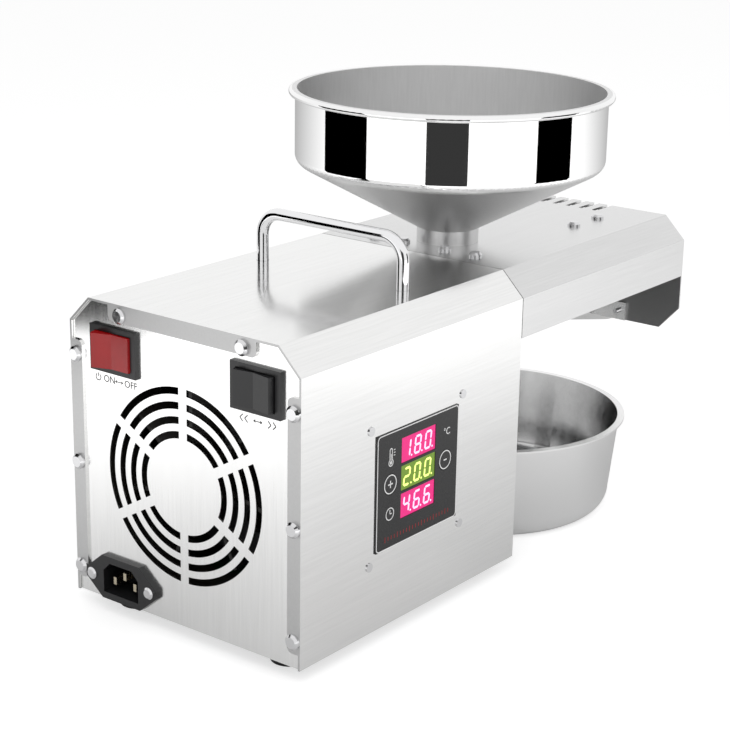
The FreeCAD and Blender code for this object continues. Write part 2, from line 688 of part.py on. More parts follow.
def inlet_pins():
    """Three flat pins standing on the floor of the well; the middle one, earth, sits higher."""
    end = panel_face - S.inlet_flange + S.inlet_well_depth
    pins = []
    for step in (-1, 0, 1):
        y = S.inlet_offset + step * S.pin_spacing
        z = S.inlet_height + (S.pin_rise if step == 0 else -S.pin_rise)
        pins.append(block((end - S.pin_length, y - S.pin_width / 2, z - S.pin_height / 2),
                          (end, y + S.pin_width / 2, z + S.pin_height / 2)))
    return node("inlet_pins", *pins)


def inlet_screws():
    face = panel_face - S.inlet_flange
    screws = [pan_screw((face, S.inlet_offset + y, S.inlet_height), -X_AXIS, S.screw_head_radius * 0.8,
                        S.screw_head_height * 0.7, S.screw_radius, S.screw_length)
              for y in mirrored(S.inlet_screw_offset)]
    return node("inlet_screws", *screws)


# ---------------------------------------------------------------------------------------------------
# Display on the side
# ---------------------------------------------------------------------------------------------------

def window_heights():
    return [S.window_top - step * S.window_step for step in range(3)]


def display_panel():
    """A thin black panel on the side, with three windows and two round key holes."""
    body = new_body()
    outline = rectangle((as_size(0), S.display_middle), S.display_width, S.display_height)
    windows = [rectangle((as_size(0), z), S.window_width + 2 * S.window_gap, S.window_height + 2 * S.window_gap)
               for z in window_heights()]
    keys = [Circle((x, S.key_height), S.key_radius + S.key_gap) for x in mirrored(S.key_offset)]
    pad(body, sketch_on(body, "XZ", side_face, outline, *windows, *keys), S.display_thickness)
    return node("display_panel", body)


def display_board_face():
    """Y of the display board's outer face: the digit modules stand on it."""
    return side_face - S.display_thickness + S.module_recess + S.module_depth


def digit_modules():
    """Three seven-segment digit blocks that stand on the board and fill the windows."""
    face = display_board_face()
    blocks = [block((-S.window_width / 2, face - S.module_depth, z - S.window_height / 2),
                    (S.window_width / 2, face, z + S.window_height / 2)) for z in window_heights()]
    return node("digit_modules", *blocks)


def round_key(label, offset):
    """A round key cap with a thin collar behind the panel."""
    outer = side_face - S.display_thickness
    cap = rod(S.key_radius, S.key_depth, (offset, outer, S.key_height), Y_AXIS)
    collar = rod(S.key_radius + S.key_gap * 3, S.key_depth / 3, (offset, side_face + S.key_gap, S.key_height), Y_AXIS)
    return node(label, fuse(cap, collar))


def key_switch(x):
    """A small push switch on the board behind a key."""
    face = display_board_face()
    start = side_face - S.display_thickness + S.key_depth + S.key_travel + S.key_gap / 2
    size = S.key_radius * 0.6
    body = block((x - size, face - S.key_depth, S.key_height - size), (x + size, face, S.key_height + size))
    return fuse(body, rod(size / 2, face - S.key_depth - start, (x, start, S.key_height), Y_AXIS))


def display_board():
    """The circuit board behind the display, with two key switches and a stand-off at each corner."""
    body = new_body()
    outline = rectangle((as_size(0), S.panel_screw_middle), S.board_width, S.board_height)
    holes = [Circle(at, S.panel_screw_radius + S.screw_hole_gap) for at in display_screw_places()]
    pad(body, sketch_on(body, "XZ", display_board_face(), outline, *holes), S.board_thickness, reverse=True)
    start = side_face + S.cover_sheet
    spacers = [tube(S.spacer_radius, S.panel_screw_radius + S.screw_hole_gap, display_board_face() - start,
                    (x, start, z), Y_AXIS) for x, z in display_screw_places()]
    return node("display_board", fuse(body, *spacers, *[key_switch(x) for x in mirrored(S.key_offset)]))


def display_screws():
    """Four low screws through the side, the spacers and the board."""
    reach = display_board_face() + S.board_thickness + 2 - side_face
    screws = []
    for x, z in display_screw_places():
        head = rod(S.panel_screw_head, S.panel_screw_proud, (x, side_face - S.panel_screw_proud, z), Y_AXIS)
        shank = rod(S.panel_screw_radius, reach, (x, side_face, z), Y_AXIS)
        screws.append(fuse(head, shank))
    return node("display_screws", *screws)


# ---------------------------------------------------------------------------------------------------
# Motor and fan
# ---------------------------------------------------------------------------------------------------

motor_start = -S.motor_rear
motor_stop = S.motor_front
mount_stop = motor_stop + S.mount_sheet


def on_motor_axis(x):
    return (x, as_size(0), S.motor_height)


def motor_housing():
    """A round can with an end wall at each end, ports round the rear bearing and two bearing seats."""
    length = motor_stop - motor_start
    outside = rod(S.motor_radius, length, on_motor_axis(motor_start), X_AXIS)
    inside = rod(S.motor_radius - S.motor_wall, length - 2 * S.motor_end,
                 on_motor_axis(motor_start + S.motor_end), X_AXIS)
    hubs = [rod(S.ball_hub, S.ball_width, on_motor_axis(x), X_AXIS)
            for x in (motor_start, motor_stop - S.ball_width)]
    seats = [rod(S.ball_radius, S.ball_width, on_motor_axis(x), X_AXIS)
             for x in (motor_start, motor_stop - S.ball_width)]
    ports = []
    for port in range(int(S.motor_ports.value)):
        turn = 2 * math.pi * port / S.motor_ports.value
        at = (motor_start, S.motor_port_circle * math.cos(turn), S.motor_height + S.motor_port_circle * math.sin(turn))
        ports.append(rod(S.motor_port_radius, S.motor_end, at, X_AXIS))
    return node("motor_housing", cut(fuse(cut(outside, inside), *hubs), *seats, *ports))


def stator_start():
    return (motor_start + motor_stop - S.stator_length) / 2


def stator_core():
    return node("stator_core", tube(S.motor_radius - S.motor_wall, S.stator_bore, S.stator_length,
                                    on_motor_axis(stator_start()), X_AXIS))


def stator_coils():
    """The end turns of the winding, a ring at each end of the core."""
    outer = S.motor_radius - S.motor_wall - S.coil_inset
    inner = S.stator_bore + S.coil_inset
    places = (stator_start() - S.coil_length, stator_start() + S.stator_length)
    return node("stator_coils", *[tube(outer, inner, S.coil_length, on_motor_axis(x), X_AXIS) for x in places])


def rotor_core():
    return node("rotor_core", tube(S.stator_bore - S.air_gap, S.shaft_radius, S.stator_length,
                                   on_motor_axis(stator_start()), X_AXIS))


def motor_shaft():
    """Thick through the rotor, with a journal at each end that carries the fan and the pinion."""
    thick_start = motor_start + S.ball_width + S.coil_inset / 2
    thick_end = motor_stop - S.ball_width - S.coil_inset / 2
    thick = rod(S.shaft_radius, thick_end - thick_start, on_motor_axis(thick_start), X_AXIS)
    start = fan_start() - 2
    end = first_gear_start() + S.first_face
    slim = rod(S.journal_radius, thick_start - start, on_motor_axis(start), X_AXIS)
    nose = rod(S.pinion_bore, end - thick_end, on_motor_axis(thick_end), X_AXIS)
    return node("motor_shaft", fuse(thick, slim, nose))


def motor_mount():
    """An angle plate on the base: the motor is bolted to one side and the gearbox to the other."""
    low = underside + S.base_sheet
    wide = S.mount_width / 2
    web = block((motor_stop, -wide, low), (mount_stop, wide, S.mount_top))
    foot = block((motor_stop - S.mount_foot, -wide, low), (motor_stop, wide, low + S.mount_sheet))
    pilot = rod(S.ball_radius, S.mount_sheet, on_motor_axis(motor_stop), X_AXIS)
    tail = rod(S.output_tail_ball, S.mount_sheet, (motor_stop, 0, S.press_height), X_AXIS)
    return node("motor_mount", cut(fuse(web, foot), pilot, tail))


def fan_start():
    return panel_back + S.fan_start


def cooling_fan():
    """A hub with pitched blades, pressed on the rear end of the motor shaft."""
    start = fan_start()
    middle = start + S.fan_depth / 2
    count = int(S.fan_blades.value)
    blades = []
    for blade in range(count):
        paddle = doc.addObject("Part::Box", "Paddle")
        bind(paddle, Length=S.fan_blade, Width=S.fan_hub_radius * 1.7, Height=S.fan_radius)
        bind(paddle, Placement__Base__x=-S.fan_blade / 2, Placement__Base__y=-S.fan_hub_radius * 0.85)
        pitched = doc.addObject("Part::Compound", "Pitched")
        pitched.Links = [paddle]
        pitched.Placement.Rotation = FreeCAD.Rotation(Z_AXIS, 90 - S.fan_pitch.value)
        turned = doc.addObject("Part::Compound", "Turned")
        turned.Links = [pitched]
        turned.Placement.Rotation = FreeCAD.Rotation(X_AXIS, 360 * blade / count)
        bind(turned, Placement__Base__x=middle, Placement__Base__z=S.motor_height)
        blades.append(turned)
    sweep = rod(S.fan_radius, S.fan_depth, on_motor_axis(start), X_AXIS)
    hub = rod(S.fan_hub_radius, S.fan_depth, on_motor_axis(start), X_AXIS)
    bore = rod(S.journal_radius, S.fan_depth, on_motor_axis(start), X_AXIS)
    return node("cooling_fan", cut(fuse(hub, *[common(blade, sweep) for blade in blades]), bore))


def fan_shroud():
    return node("fan_shroud", tube(S.shroud_radius + S.shroud_wall, S.shroud_radius, S.shroud_length,
                                   on_motor_axis(panel_back), X_AXIS))


# ---------------------------------------------------------------------------------------------------
# Gear train: motor pinion, layshaft with two wheels, output gear
# ---------------------------------------------------------------------------------------------------

first_centres = S.first_module * (S.pinion_teeth + S.first_gear_teeth) / 2
second_centres = S.second_module * (S.pinion_teeth + S.output_gear_teeth) / 2
axes_apart = S.press_height - S.motor_height
lay_rise = (first_centres * first_centres - second_centres * second_centres
            + axes_apart * axes_apart) / (2 * axes_apart)
lay_y = root(first_centres * first_centres - lay_rise * lay_rise)
lay_z = S.motor_height + lay_rise
first_tip = S.first_module * (S.first_gear_teeth / 2 + 1)
output_tip = S.second_module * (S.output_gear_teeth / 2 + 1)
cavity_start = mount_stop + S.case_end
cavity_stop = cavity_start + 3 * S.gear_side_gap + S.first_face + S.second_face
case_stop = hood_start - S.front_sheet


def first_gear_start():
    return cavity_start + S.gear_side_gap


def second_gear_start():
    return first_gear_start() + S.first_face + S.gear_side_gap


def gear(label, module, teeth, width, bore, at, tooth_at):
    """A spur gear with involute flanks about an X axis; tooth_at is the angle of one tooth's middle."""
    module, count = module.value, int(teeth.value)
    pitch = module * count / 2
    pressure = math.radians(S.pressure_angle.value)
    base = pitch * math.cos(pressure)
    foot, tip = pitch - 1.2 * module, pitch + module
    thickness = math.pi / (2 * count) - S.backlash.value / (2 * pitch)

    def half_angle(radius):
        roll = math.acos(min(base / radius, 1))
        return thickness + math.tan(pressure) - pressure - math.tan(roll) + roll

    start = max(base, foot)
    flank = [(foot, half_angle(start)), (start, half_angle(start)), (pitch, half_angle(pitch)),
             (tip, half_angle(tip))]
    outline = [(radius, -angle) for radius, angle in flank] + [(radius, angle) for radius, angle in flank[::-1]]
    if foot >= base:
        outline = outline[1:-1]
    points = []
    for tooth in range(count):
        middle = tooth_at + 2 * math.pi * tooth / count
        points += [V(0, radius * math.cos(middle + angle), radius * math.sin(middle + angle))
                   for radius, angle in outline]
    blank = Part.Face(Part.makePolygon(points + points[:1])).extrude(V(width.value, 0, 0))
    shape = blank.cut(Part.makeCylinder(bore.value, width.value, V(0, 0, 0), X_AXIS))
    return node(label, formed("Gear", shape, at))


def gears():
    """Each wheel turned so that its teeth stand in its partner's gaps."""
    to_lay = math.atan2(lay_rise.value, lay_y.value)
    to_output = math.atan2((axes_apart - lay_rise).value, -lay_y.value)
    first, second = first_gear_start(), second_gear_start()
    pinion, lay = S.pinion_teeth, (lay_y, lay_z)
    gear("motor_pinion", S.first_module, pinion, S.first_face, S.pinion_bore, on_motor_axis(first), to_lay)
    gear("first_gear", S.first_module, S.first_gear_teeth, S.first_face, S.lay_radius, (first, *lay),
         to_lay + math.pi + math.pi / S.first_gear_teeth.value)
    gear("second_pinion", S.second_module, pinion, S.second_face, S.lay_radius, (second, *lay), to_output)
    gear("output_gear", S.second_module, S.output_gear_teeth, S.second_face, S.output_radius,
         (second, as_size(0), S.press_height), to_output + math.pi + math.pi / S.output_gear_teeth.value)


def lay_shaft():
    start = cavity_start - S.lay_ball_width
    return node("lay_shaft", rod(S.lay_radius, cavity_stop + S.lay_ball_width - start, (start, lay_y, lay_z),
                                 X_AXIS))


def on_press_axis(x):
    return (x, as_size(0), S.press_height)


def output_shaft():
    """Slim tail in the rear wall, thick body through the gear, and a hexagonal socket in its nose."""
    shoulder = second_gear_start() - 1
    tail_start = cavity_start - S.tail_ball_width
    nose = case_stop - 1
    tail = rod(S.output_tail_radius, shoulder - tail_start, on_press_axis(tail_start), X_AXIS)
    body = rod(S.output_radius, nose - shoulder, on_press_axis(shoulder), X_AXIS)
    socket = hexagon(S.hex_socket_flats, S.hex_depth, on_press_axis(nose - S.hex_depth), X_AXIS)
    return node("output_shaft", cut(fuse(tail, body), socket))


def ball_bearings():
    """Rings for the motor shaft, the layshaft and the output shaft, two on each."""
    gap = S.running_gap
    rings = [tube(S.ball_radius, S.journal_radius + gap, S.ball_width, on_motor_axis(motor_start), X_AXIS),
             tube(S.ball_radius, S.pinion_bore + gap, S.ball_width, on_motor_axis(motor_stop - S.ball_width),
                  X_AXIS),
             tube(S.output_tail_ball, S.output_tail_radius + gap, S.tail_ball_width,
                  on_press_axis(cavity_start - S.tail_ball_width), X_AXIS),
             tube(S.output_ball_radius, S.output_radius + gap, S.output_ball_width, on_press_axis(cavity_stop),
                  X_AXIS)]
    rings += [tube(S.lay_ball_radius, S.lay_radius + gap, S.lay_ball_width, (x, lay_y, lay_z), X_AXIS)
              for x in (cavity_start - S.lay_ball_width, cavity_stop)]
    return node("ball_bearings", *rings)


def thrust_bearing():
    """Takes the screw's backward push between the shaft's shoulder and the rear wall."""
    length = second_gear_start() - 1 - S.face_gap - cavity_start
    return node("thrust_bearing", tube(S.thrust_radius, S.output_tail_radius + S.running_gap, length,
                                       on_press_axis(cavity_start), X_AXIS))


def case_outline(grow):
    """The rounded rectangle round both wheels, grown outwards; corner radius grows with it."""
    left = -(output_tip + S.case_room + grow)
    right = lay_y + first_tip + S.case_room + grow
    low = lay_z - first_tip - S.case_room - grow
    high = S.press_height + output_tip + S.case_room + grow
    bend = S.corner_radius + grow / 2
    return [(left + bend, low), Arc((right - bend, low), bend, True), (right, low + bend),
            Arc((right, high - bend), bend, True), (right - bend, high), Arc((left + bend, high), bend, True),
            (left, high - bend), Arc((left, low + bend), bend, True)]


def case_screw_places():
    inset = S.case_wall * 0.32
    low = lay_z - first_tip - S.case_room - inset
    high = S.press_height + output_tip + S.case_room + inset
    left = -(output_tip + S.case_room + inset)
    right = lay_y + first_tip + S.case_room + inset
    return [(y, z) for y in (left, right) for z in (low, high)]


def case_half(label, start, stop, cavity_from, cavity_to, seats, through):
    """One half of the gearbox case: outline, cavity, bearing seats and screw holes."""
    body = new_body()
    pad(body, sketch_on(body, "YZ", start, case_outline(S.case_wall)), stop - start)
    pocket(body, sketch_on(body, "YZ", cavity_from, case_outline(as_size(0))), cavity_to - cavity_from,
           reverse=True)
    holes = [Circle(at, S.case_screw_radius) for at in case_screw_places()]
    pocket(body, sketch_on(body, "YZ", start, *holes), stop - start, reverse=True)
    for x, length, radius, at in seats + through:
        pocket(body, sketch_on(body, "YZ", x, Circle(at, radius)), length, reverse=True)
    return node(label, body)


def gearbox_case():
    """The rear half holds the small bearings; the front half is thick, for the press barrel's bolts."""
    joint = second_gear_start()
    lay, motor, press = (lay_y, lay_z), (0, S.motor_height), (0, S.press_height)
    case_half("gearbox_rear_case", mount_stop, joint, cavity_start, joint,
              [(cavity_start - S.lay_ball_width, S.lay_ball_width, S.lay_ball_radius, lay),
               (cavity_start - S.tail_ball_width, S.tail_ball_width, S.output_tail_ball, press)],
              [(mount_stop, S.case_end, S.pinion_bore + 1, motor)])
    bolts = [(case_stop - S.barrel_bolt_grip, S.barrel_bolt_grip, S.barrel_bolt_radius, at)
             for at in barrel_bolt_places()]
    case_half("gearbox_front_case", joint, case_stop, joint, cavity_stop,
              [(cavity_stop, S.lay_ball_width, S.lay_ball_radius, lay),
               (cavity_stop, S.output_ball_width, S.output_ball_radius, press)],
              [(cavity_stop, case_stop - cavity_stop, S.output_radius + 1, press)] + bolts)
    length = S.case_end + S.case_screw_grip
    screws = [rod(S.case_screw_radius, length, (mount_stop, y, z), X_AXIS) for y, z in case_screw_places()]
    return node("case_screws", *screws)


# ---------------------------------------------------------------------------------------------------
# Press: barrel, screw, heater, nose
# ---------------------------------------------------------------------------------------------------

barrel_end = hood_start + S.barrel_length


def barrel_bolt_places():
    reach = S.barrel_bolt_circle / root(as_size(2))
    return [(y, S.press_height + z) for y in mirrored(reach) for z in mirrored(reach)]


def press_barrel():
    """A thick tube with a bolting flange, a feed opening on top and oil slots underneath."""
    flange = rod(S.barrel_flange_radius, S.barrel_flange, on_press_axis(hood_start), X_AXIS)
    body = rod(S.barrel_radius, S.barrel_length, on_press_axis(hood_start), X_AXIS)
    bore = rod(S.barrel_bore, S.barrel_length, on_press_axis(hood_start), X_AXIS)
    seat = rod(S.nose_radius, S.nose_thread, on_press_axis(barrel_end - S.nose_thread), X_AXIS)
    feed = rod(S.feed_radius, S.barrel_radius * 2, (S.feed_x, 0, S.press_height))
    holes = [rod(S.barrel_bolt_radius, S.barrel_flange, (hood_start, y, z), X_AXIS)
             for y, z in barrel_bolt_places()]
    probe = rod(S.probe_radius, S.probe_seat, (S.probe_x, S.barrel_radius - S.probe_seat, S.press_height), Y_AXIS)
    slots = []
    for number in range(int(S.oil_slots.value)):
        x = S.oil_slot_first + number * S.oil_slot_pitch
        slots.append(block((x, -S.barrel_radius, S.press_height - S.barrel_radius),
                           (x + S.oil_slot_width, S.barrel_radius, S.press_height - S.barrel_radius
                            + S.oil_slot_depth)))
    return node("press_barrel", cut(fuse(flange, body), bore, seat, feed, probe, *holes, *slots))


def barrel_bolts():
    bolts = []
    for y, z in barrel_bolt_places():
        at = (hood_start + S.barrel_flange, y, z)
        socket = hexagon(S.barrel_bolt_radius * 1.7, S.barrel_bolt_radius,
                         (at[0] + S.barrel_bolt_radius, y, z), X_AXIS)
        head = cut(rod(S.barrel_bolt_head, S.barrel_bolt_radius * 2, at, X_AXIS), socket)
        shank = rod(S.barrel_bolt_radius, S.barrel_flange + S.front_sheet + S.barrel_bolt_grip, at, -X_AXIS)
        bolts.append(fuse(head, shank))
    return node("barrel_bolts", *bolts)


def press_screw():
    """The screw: hexagonal shank, sealing collar, and a flight whose root thickens towards the outlet."""
    outer = (S.barrel_bore - S.screw_gap).value
    hex_start = case_stop.value - 1 - S.hex_depth.value
    collar_start = hood_start.value
    flight_start = collar_start + S.collar_length.value
    flight_end = barrel_end.value - 1
    feed_root, press_root = S.auger_root_feed.value, S.auger_root_press.value
    tip_end = barrel_end.value + S.nose_length.value - S.nose_thread.value
    flats = S.hex_socket_flats.value - 2 * S.hex_gap.value
    corners = [V(0, flats / math.sqrt(3) * math.sin(math.radians(60 * k)),
                 flats / math.sqrt(3) * math.cos(math.radians(60 * k))) for k in range(7)]
    shank = Part.Face(Part.makePolygon(corners)).extrude(V(collar_start - hex_start, 0, 0))
    shank.translate(V(hex_start, 0, 0))
    collar = Part.makeCylinder(outer, flight_start - collar_start, V(collar_start, 0, 0), X_AXIS)
    core = Part.makeCone(feed_root, press_root, flight_end - flight_start, V(flight_start, 0, 0), X_AXIS)
    tip = Part.makeCone(press_root, S.auger_tip_radius.value, tip_end - flight_end, V(flight_end, 0, 0), X_AXIS)
    flight = screw_flight(outer, feed_root - 1, S.auger_pitch.value, S.auger_land.value,
                          flight_end - flight_start - 2 * S.auger_land.value)
    flight.translate(V(flight_start, 0, 0))
    shape = core.fuse(flight).fuse([collar, tip, shank]).removeSplitter()
    return node("press_screw", formed("Auger", shape, on_press_axis(as_size(0))))


def screw_flight(outer, inner, pitch, land, length):
    """A helical ridge along +X: its section is a trapezoid, wider at the root than at the land."""
    helix = Part.makeHelix(pitch, length, (outer + inner) / 2)
    section = Part.makePolygon([V(inner, 0, -land), V(outer, 0, -land / 2), V(outer, 0, land / 2),
                                V(inner, 0, land), V(inner, 0, -land)])
    sweep = Part.BRepOffsetAPI.MakePipeShell(helix)
    sweep.setFrenetMode(True)
    sweep.add(section)
    sweep.build()
    sweep.makeSolid()
    ridge = sweep.shape()
    ridge.rotate(V(0, 0, 0), Y_AXIS, 90)
    ridge.translate(V(land, 0, 0))
    return ridge


def nose_cap():
    """Screwed into the barrel's end; cake leaves through the ring-shaped gap round the screw's tip."""
    start = barrel_end - S.nose_thread
    length = S.nose_length
    body = rod(S.nose_radius, length, on_press_axis(start), X_AXIS)
    bore = rod(S.barrel_bore, S.nose_thread, on_press_axis(start), X_AXIS)
    outlet = taper(S.auger_root_press + S.cake_gap, S.auger_tip_radius + S.cake_gap, length - S.nose_thread,
                   on_press_axis(barrel_end), X_AXIS)
    return node("nose_cap", cut(body, bore, outlet))


def heater_band():
    """A split band heater clamped round the barrel near its end, with two clamping ears."""
    inner = S.barrel_radius + S.heater_gap
    outer = inner + S.heater_wall
    start = S.heater_start
    ring = rod(outer, S.heater_length, on_press_axis(start), X_AXIS)
    ears_low = S.press_height + outer - S.heater_wall / 2
    ears = [block((start, y, ears_low), (start + S.heater_length, y + S.ear_thickness, ears_low + S.ear_reach))
            for y in (-S.heater_slit / 2 - S.ear_thickness, S.heater_slit / 2)]
    slit = block((start, -S.heater_slit / 2, S.press_height),
                 (start + S.heater_length, S.heater_slit / 2, S.press_height + outer + S.ear_reach))
    bore = rod(inner, S.heater_length, on_press_axis(start), X_AXIS)
    hole = rod(S.screw_radius, S.barrel_radius, heater_screw_place(-S.barrel_radius / 2), Y_AXIS)
    return node("heater_band", cut(fuse(ring, *ears), slit, bore, hole))


def heater_screw_place(y):
    height = S.press_height + S.barrel_radius + S.heater_wall + S.ear_reach * 0.5
    return (S.heater_start + S.heater_length / 2, y, height)


def heater_screw():
    """The clamp screw across the ears, head on one side and nut on the other."""
    side = S.heater_slit / 2 + S.ear_thickness
    head = rod(S.screw_radius * 1.8, S.screw_radius * 1.6, heater_screw_place(-side), -Y_AXIS)
    shank = rod(S.screw_radius, 2 * side + S.screw_radius * 1.6, heater_screw_place(-side), Y_AXIS)
    nut = hexagon(S.screw_radius * 3.6, S.screw_radius * 1.6, heater_screw_place(side), Y_AXIS)
    return node("heater_screw", fuse(head, shank, nut))


def temperature_probe():
    """A short sensor screwed into the barrel's far side, with a hexagonal body."""
    y = S.barrel_radius - S.probe_seat
    tip = rod(S.probe_radius, S.probe_seat, (S.probe_x, y, S.press_height), Y_AXIS)
    body = hexagon(S.probe_radius * 3, S.probe_length / 2, (S.probe_x, S.barrel_radius, S.press_height), Y_AXIS)
    tail = rod(S.probe_radius, S.probe_length, (S.probe_x, S.barrel_radius, S.press_height), Y_AXIS)
    return node("temperature_probe", fuse(tip, body, tail))


def feed_throat():
    """The short pipe between the hood and the barrel that the hopper's spigot drops into."""
    low = S.press_height
    high = top - S.cover_sheet
    pipe = tube(S.throat_radius, S.throat_bore, high - low, (S.feed_x, 0, low))
    barrel = rod(S.barrel_radius, S.throat_radius * 2, on_press_axis(S.feed_x - S.throat_radius), X_AXIS)
    return node("feed_throat", cut(pipe, barrel))


# ---------------------------------------------------------------------------------------------------
# Hood and what hangs from it
# ---------------------------------------------------------------------------------------------------

def hood_rear_screw_places():
    x = hood_start + S.hood_rear_screw_x
    return [(x, y) for y in mirrored(S.hood_rear_screw_inner, S.hood_rear_screw_outer)]


def hood_front_screw_places():
    return [(x, y) for x in (S.hood_front_screw_rear, S.hood_front_screw_front)
            for y in mirrored(S.hood_front_screw_y)]


def end_wall_outline():
    """The end wall in Y and Z: the hood's roof line, clipped lower corners and a notch for the chute."""
    low, side, chamfer = S.hood_end_low, S.hood_end_side, S.hood_end_chamfer
    notch, lead = S.notch_half, S.notch_chamfer
    roof = gable(0, side)
    return roof + [(half - chamfer, low), (notch + lead, low), (notch, low + lead),
                   *half_round((0, S.press_height), notch, (0, 1)), (-notch, low + lead),
                   (-notch - lead, low), (-half + chamfer, low)]


def vent_places():
    count = int(S.vents.value)
    return [S.vent_pitch * (slot - (count - 1) / 2) for slot in range(count)]


def hood():
    """A bent sheet over the barrel; its end wall hangs lower than its sides; vents cross the bend."""
    body = new_body()
    pad(body, sketch_on(body, "YZ", hood_start, gable_shell(0, S.cover_sheet, top - S.hood_drop)),
        S.hood_length)
    pad(body, sketch_on(body, "YZ", hood_end - S.cover_sheet, end_wall_outline()), S.cover_sheet)
    radius = S.vent_width / 2
    start = hood_end - S.vent_length + radius
    vents = [[(hood_end, y + radius), *half_round((start, y), radius, (-1, 0)), (hood_end, y - radius)]
             for y in vent_places()]
    holes = [Circle(at, S.screw_radius + S.screw_hole_gap)
             for at in hood_rear_screw_places() + hood_front_screw_places()]
    neck = Circle((S.feed_x, 0), S.neck_hole)
    pocket(body, sketch_on(body, "XY", top, neck, *holes, *vents), S.cover_sheet)
    low = top - S.vent_wrap
    cuts = [[(y - radius, top), *half_round((y, low + radius), radius, (0, -1)), (y + radius, top)]
            for y in vent_places()]
    pocket(body, sketch_on(body, "YZ", hood_end, *cuts), S.cover_sheet)
    chute_holes = [Circle(at, S.chute_screw_radius + S.screw_hole_gap) for at in chute_screw_places()]
    pocket(body, sketch_on(body, "YZ", hood_end, *chute_holes), S.cover_sheet)
    return node("hood", body)


def hood_screws():
    screws = [pan_screw((x, y, top), Z_AXIS, S.hood_screw_head, S.screw_head_height, S.screw_radius,
                        S.cover_sheet + S.bracket_sheet + 1)
              for x, y in hood_rear_screw_places() + hood_front_screw_places()]
    return node("hood_screws", *screws)


def hood_bracket():
    """An angle under the hood's rear edge; its two legs stand on the front panel beside the flange."""
    high = top - S.cover_sheet
    low = high - S.bracket_sheet
    shelf = block((hood_start, -S.bracket_half, low), (hood_start + S.bracket_leg, S.bracket_half, high))
    legs = []
    for side in (-1, 1):
        near, far = side * S.bracket_half, side * (S.bracket_half - S.bracket_leg)
        y_low, y_high = (near, far) if side < 0 else (far, near)
        legs.append(block((hood_start, y_low, high - S.bracket_drop), (hood_start + S.bracket_sheet, y_high, low)))
    holes = [rod(S.screw_radius, S.bracket_sheet, (x, y, low)) for x, y in hood_rear_screw_places()]
    return node("hood_bracket", cut(fuse(shelf, *legs), *holes))


def barrel_hanger():
    """A plate under the hood with a ring round the barrel that carries its far end."""
    high = top - S.cover_sheet
    low = high - S.bracket_sheet
    shelf = block((S.hanger_plate_start, -S.bracket_half, low),
                  (S.hanger_plate_start + S.hanger_plate_length, S.bracket_half, high))
    web = block((S.hanger_web_x, -S.hanger_web_half, S.press_height),
                (S.hanger_web_x + S.hanger_web, S.hanger_web_half, low))
    ring = rod(S.barrel_radius + S.hanger_ring, S.hanger_web, on_press_axis(S.hanger_web_x), X_AXIS)
    bore = rod(S.barrel_radius, S.hanger_web, on_press_axis(S.hanger_web_x), X_AXIS)
    holes = [rod(S.screw_radius, S.bracket_sheet, (x, y, low)) for x, y in hood_front_screw_places()]
    return node("barrel_hanger", cut(fuse(shelf, web, ring), bore, *holes))


# ---------------------------------------------------------------------------------------------------
# Hopper, cake chute and bowl
# ---------------------------------------------------------------------------------------------------

def hopper():
    """Spun in one piece: rolled rim, straight band, cone, neck and the spigot that drops into the throat."""
    outer, sheet = S.hopper_radius, S.hopper_sheet
    run = outer - S.neck_radius
    rise = S.band_low - S.cone_low
    slant = root(run * run + rise * rise)
    cosine, sine = run / slant, rise / slant
    reach = S.hopper_corner * cosine / (1 + sine)
    bend_low = (outer - reach * cosine, S.band_low - reach * sine)
    bend_high = S.band_low + reach
    roll = S.rim_roll
    rim = S.hopper_top - roll
    neck_bore = S.neck_radius - S.neck_wall
    spigot_bore = S.spigot_radius - S.neck_wall
    mouth_z = S.cone_low + sheet / cosine - S.neck_wall * rise / run
    profile = [
        (S.spigot_radius, S.spigot_low), (S.spigot_radius, top), (S.neck_radius, top),
        (S.neck_radius, S.cone_low), Arc(bend_low, S.hopper_corner, True), (outer, bend_high),
        *half_round((outer + roll, rim), roll, (0, -1))[:2], Arc((outer + 2 * roll, rim), roll, True),
        (outer + roll, S.hopper_top),
        (outer - sheet, S.hopper_top), Arc((outer - sheet, bend_high), S.hopper_corner - sheet, False),
        (bend_low[0] - sheet * sine, bend_low[1] + sheet * cosine), (neck_bore, mouth_z),
        (neck_bore, top + S.neck_wall), (spigot_bore, top + S.neck_wall), (spigot_bore, S.spigot_low)]
    body = new_body()
    revolve(body, sketch_on(body, "XZ", as_size(0), profile))
    bind(body, Placement__Base__x=S.feed_x)
    return node("hopper", body)


def chute_screw_places():
    return [(y, S.hood_end_low + S.chute_ear_height / 2) for y in mirrored(S.notch_half + S.chute_ear_width / 2
                                                                            + S.notch_chamfer)]


